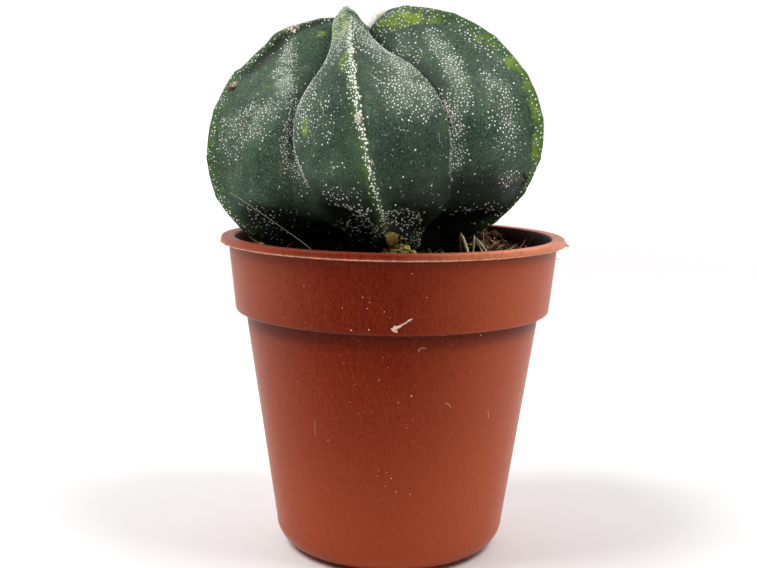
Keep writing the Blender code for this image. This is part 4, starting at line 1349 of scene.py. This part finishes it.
def build_strands(name, strands, paint, sides=4):
    """Thin round strands, which taper towards both ends: (path of points, width, tint)."""
    points, faces, values = [], [], []
    for path, width, tint in strands:
        path = np.asarray(path, dtype=float)
        flat, other = across_axes(unit(np.gradient(path, axis=0)))
        steps = len(path)
        taper = np.sqrt(np.clip(1.0 - np.abs(np.linspace(-1.0, 1.0, steps)) ** 3, 0.04, 1.0))
        first = len(points)
        for i in range(steps):
            for k in range(sides):
                angle = math.tau * k / sides
                out = flat[i] * math.cos(angle) + other[i] * math.sin(angle)
                points.append(path[i] + out * 0.5 * width * taper[i])
                values.append(tint)
        faces += ring_faces(steps, sides, first)
        faces.append(tuple(range(first + sides - 1, first - 1, -1)))
        faces.append(tuple(range(first + (steps - 1) * sides, first + steps * sides)))
    new_piece(name, np.array(points), faces, paint, values={"tint": values})


def curl(start, way, length, bend, draw, steps=5):
    """A path that leaves start along way and bends at random."""
    path, way = [np.asarray(start, dtype=float)], unit(np.asarray(way, dtype=float))
    turn = draw.standard_normal(3) * bend
    for _ in range(steps):
        way = unit(way + turn / steps)
        path.append(path[-1] + way * (length / steps))
    return path


def on_soil(x, y, rise):
    """A place over the soil, at a rise above its top."""
    return (x, y, soil_height(x, y) + rise)


def scatter_soil(stem, draw):
    """Loose crumbs and fibres over the soil, with the tan lumps and the straw that lie at the right."""
    grains = []
    for _ in range(CRUMB_COUNT):
        reach = math.sqrt(draw.uniform(9.5**2, 25.0**2)) * MM
        angle = draw.uniform(0.0, math.tau)
        size = draw.uniform(0.16, 0.42) * MM * (1.6 if draw.random() < 0.12 else 1.0)
        place = on_soil(reach * math.cos(angle), reach * math.sin(angle), 0.3 * size)
        grains.append((place, size, min(draw.random() ** 2.2, 0.85)))
    for x, y, size, tint in LUMPS:
        grains.append((on_soil(x * MM, y * MM, 0.5 * size * MM), size * MM, tint))
    build_crumbs("soil_crumbs", grains, crumb_paint(), draw)
    grains = []
    shares = draw.uniform(0.01, 0.125, FOOT_CRUMBS)
    places, ways = stem.at(*FRONT_RIGHT, shares, np.abs(0.08 * draw.standard_normal(FOOT_CRUMBS)))
    for place in places + 0.1 * MM * ways:
        grains.append((place, draw.uniform(0.16, 0.42) * MM, draw.uniform(0.82, 1.0)))
    heap_x, heap_y, _, spread = HEAPS[-1]
    for _ in range(HEAP_CRUMBS):
        x = (heap_x + 0.62 * spread * draw.standard_normal()) * MM
        y = (heap_y + 0.55 * spread * draw.standard_normal()) * MM
        size = draw.uniform(0.18, 0.48) * MM
        grains.append((on_soil(x, y, draw.uniform(0.0, 0.9) * MM), size, draw.uniform(0.8, 1.0)))
    build_crumbs("pale_crumbs", grains, crumb_paint((255, 234, 146), 0.3), draw)
    strands = []
    for _ in range(FIBRE_COUNT):
        reach, angle = draw.uniform(12.0, 24.5) * MM, draw.uniform(0.0, math.tau)
        start = on_soil(reach * math.cos(angle), reach * math.sin(angle), 0.25 * MM)
        way = (*draw.standard_normal(2), draw.uniform(-0.1, 0.35))
        path = curl(start, way, draw.uniform(1.5, 5.0) * MM, 0.8, draw)
        strands.append((path, draw.uniform(0.08, 0.24) * MM, draw.uniform(0.25, 0.9)))
    for x, y, rise, *way, length, width, tint in STRAWS:
        path = curl(on_soil(x * MM, y * MM, rise * MM), way, length * MM, 0.25, draw)
        strands.append((path, width * MM, tint))
    build_strands("soil_fibres", strands, crumb_paint((252, 240, 186), 0.3))


def on_wall(degrees, height):
    """A place on the pot's outer wall, at degrees round from the front and a height in millimetres."""
    angle, radius = math.radians(degrees), outer_radius(height * MM)
    return (math.sin(angle) * radius, -math.cos(angle) * radius, height * MM)


def build_dust(draw):
    """Dust, a scuff with its torn flake, and pale scratches on the pot's wall."""
    paint = tinted_paint("dust", (96, 36, 22), (240, 206, 190), 0.85)
    grains = [(on_wall(degrees, height), size * MM, tint) for degrees, height, size, tint in DUST]
    for _ in range(DUST_COUNT):
        place = on_wall(draw.uniform(-180.0, 180.0), draw.uniform(8.0, 49.0))
        grains.append((place, draw.uniform(0.03, 0.09) * MM, draw.uniform(0.2, 1.0)))
    for u in np.linspace(0.0, 1.0, SCUFF_GRAINS):
        degrees, height = SCUFF_START[0] + u * SCUFF_TURN, SCUFF_START[1] + u * SCUFF_RISE
        place = on_wall(degrees, height + draw.uniform(-0.18, 0.18) * (1.0 - u))
        size = (0.13 + 0.24 * max(0.0, 1.0 - 2.4 * u)) * draw.uniform(0.7, 1.2) * MM
        grains.append((place, size, draw.uniform(0.75, 1.0)))
    build_crumbs("pot_dust", grains, paint, draw, flat=0.6)
    strands = []
    for degrees, height, turn, rise, width, tint in WALL_SCRATCHES:
        path = []
        for u in np.linspace(0.0, 1.0, 9):
            bow = 0.25 * math.sin(math.pi * u)
            path.append(on_wall(degrees + turn * u, height + rise * u + bow))
        strands.append((path, width * MM, tint))
    build_strands("pot_scratches", strands, paint)


def camera_axes():
    """The camera's right, up and forward axes."""
    level = math.cos(CAMERA_PITCH)
    forward = Vector((-math.sin(CAMERA_YAW) * level, math.cos(CAMERA_YAW) * level, -math.sin(CAMERA_PITCH)))
    right = forward.cross(Vector((0.0, 0.0, 1.0))).normalized()
    up = right.cross(forward)
    roll = Matrix.Rotation(CAMERA_ROLL, 3, forward)
    return roll @ right, roll @ up, forward


def build_camera():
    right, up, forward = camera_axes()
    data = bpy.data.cameras.new("camera")
    data.sensor_width = SENSOR_WIDTH
    data.lens = FOCAL_PIXELS * SENSOR_WIDTH / IMAGE_WIDTH
    data.clip_start = 1.0 * MM
    camera = placed("camera", data)
    turned = Matrix((right, up, -forward)).transposed().to_4x4()
    camera.matrix_world = Matrix.Translation(CAMERA_PLACE) @ turned
    bpy.context.scene.camera = camera


def soft_light(name, side, power):
    """A round light over the pot's front, at its left for side -1 and at its right for 1."""
    data = bpy.data.lights.new(name, "AREA")
    data.shape = "DISK"
    data.size = LIGHT_SIZE
    data.energy = power
    light = placed(name, data)
    light.location = (side * LIGHT_PLACE.x, LIGHT_PLACE.y, LIGHT_PLACE.z)
    light.rotation_euler = (LIGHT_AIM - light.location).to_track_quat("-Z", "Y").to_euler()


def build_room():
    """The room's light: bright behind the plant, half as bright overhead, dim in front. It looks white."""
    room = Paint("room", world=True)
    depth = room.ramp(room.axis("Y"), -0.8, 0.7, ROOM_FRONT, ROOM_BACK)
    seen = room.node("LightPath")["Is Camera Ray"]
    room.set(Strength=room.node("Mix", {0: seen, 2: depth, 3: 1.0})[0], Color=WHITE)
    bpy.context.scene.world = room.owner


def build_stage():
    """A plain pale floor that brightens to white far off, a white room and two soft lights."""
    mesh = bpy.data.meshes.new("floor")
    corners = [(x * FLOOR_SIZE, y * FLOOR_SIZE, 0.0) for x, y in ((-1, -1), (1, -1), (1, 1), (-1, 1))]
    mesh.from_pydata(corners, [], [(0, 1, 2, 3)])
    paint = Paint("floor")
    away = paint.node("VectorMath", {0: paint.place}, operation="LENGTH")["Value"]
    glow = paint.ramp(away, FLOOR_NEAR, FLOOR_FAR)
    paint.set(Base_Color=FLOOR_COLOUR, Roughness=0.9, Emission_Color=WHITE, Emission_Strength=glow)
    mesh.materials.append(paint.owner)
    floor = placed("floor", mesh)
    build_room()
    soft_light("left_light", -1.0, LEFT_POWER)
    soft_light("right_light", 1.0, RIGHT_POWER)
    bpy.context.scene.view_settings.view_transform = "Standard"


build_camera()
build_stage()
the_stem = Stem()
build_stem(the_stem)
build_flecks(the_stem, fleck_field(the_stem))
build_marks(the_stem, np.random.default_rng(SEED + 2))
build_wool(the_stem, np.random.default_rng(SEED + 3))
build_pot()
build_dust(np.random.default_rng(SEED + 4))
build_soil(the_stem)
scatter_soil(the_stem, np.random.default_rng(SEED + 1))
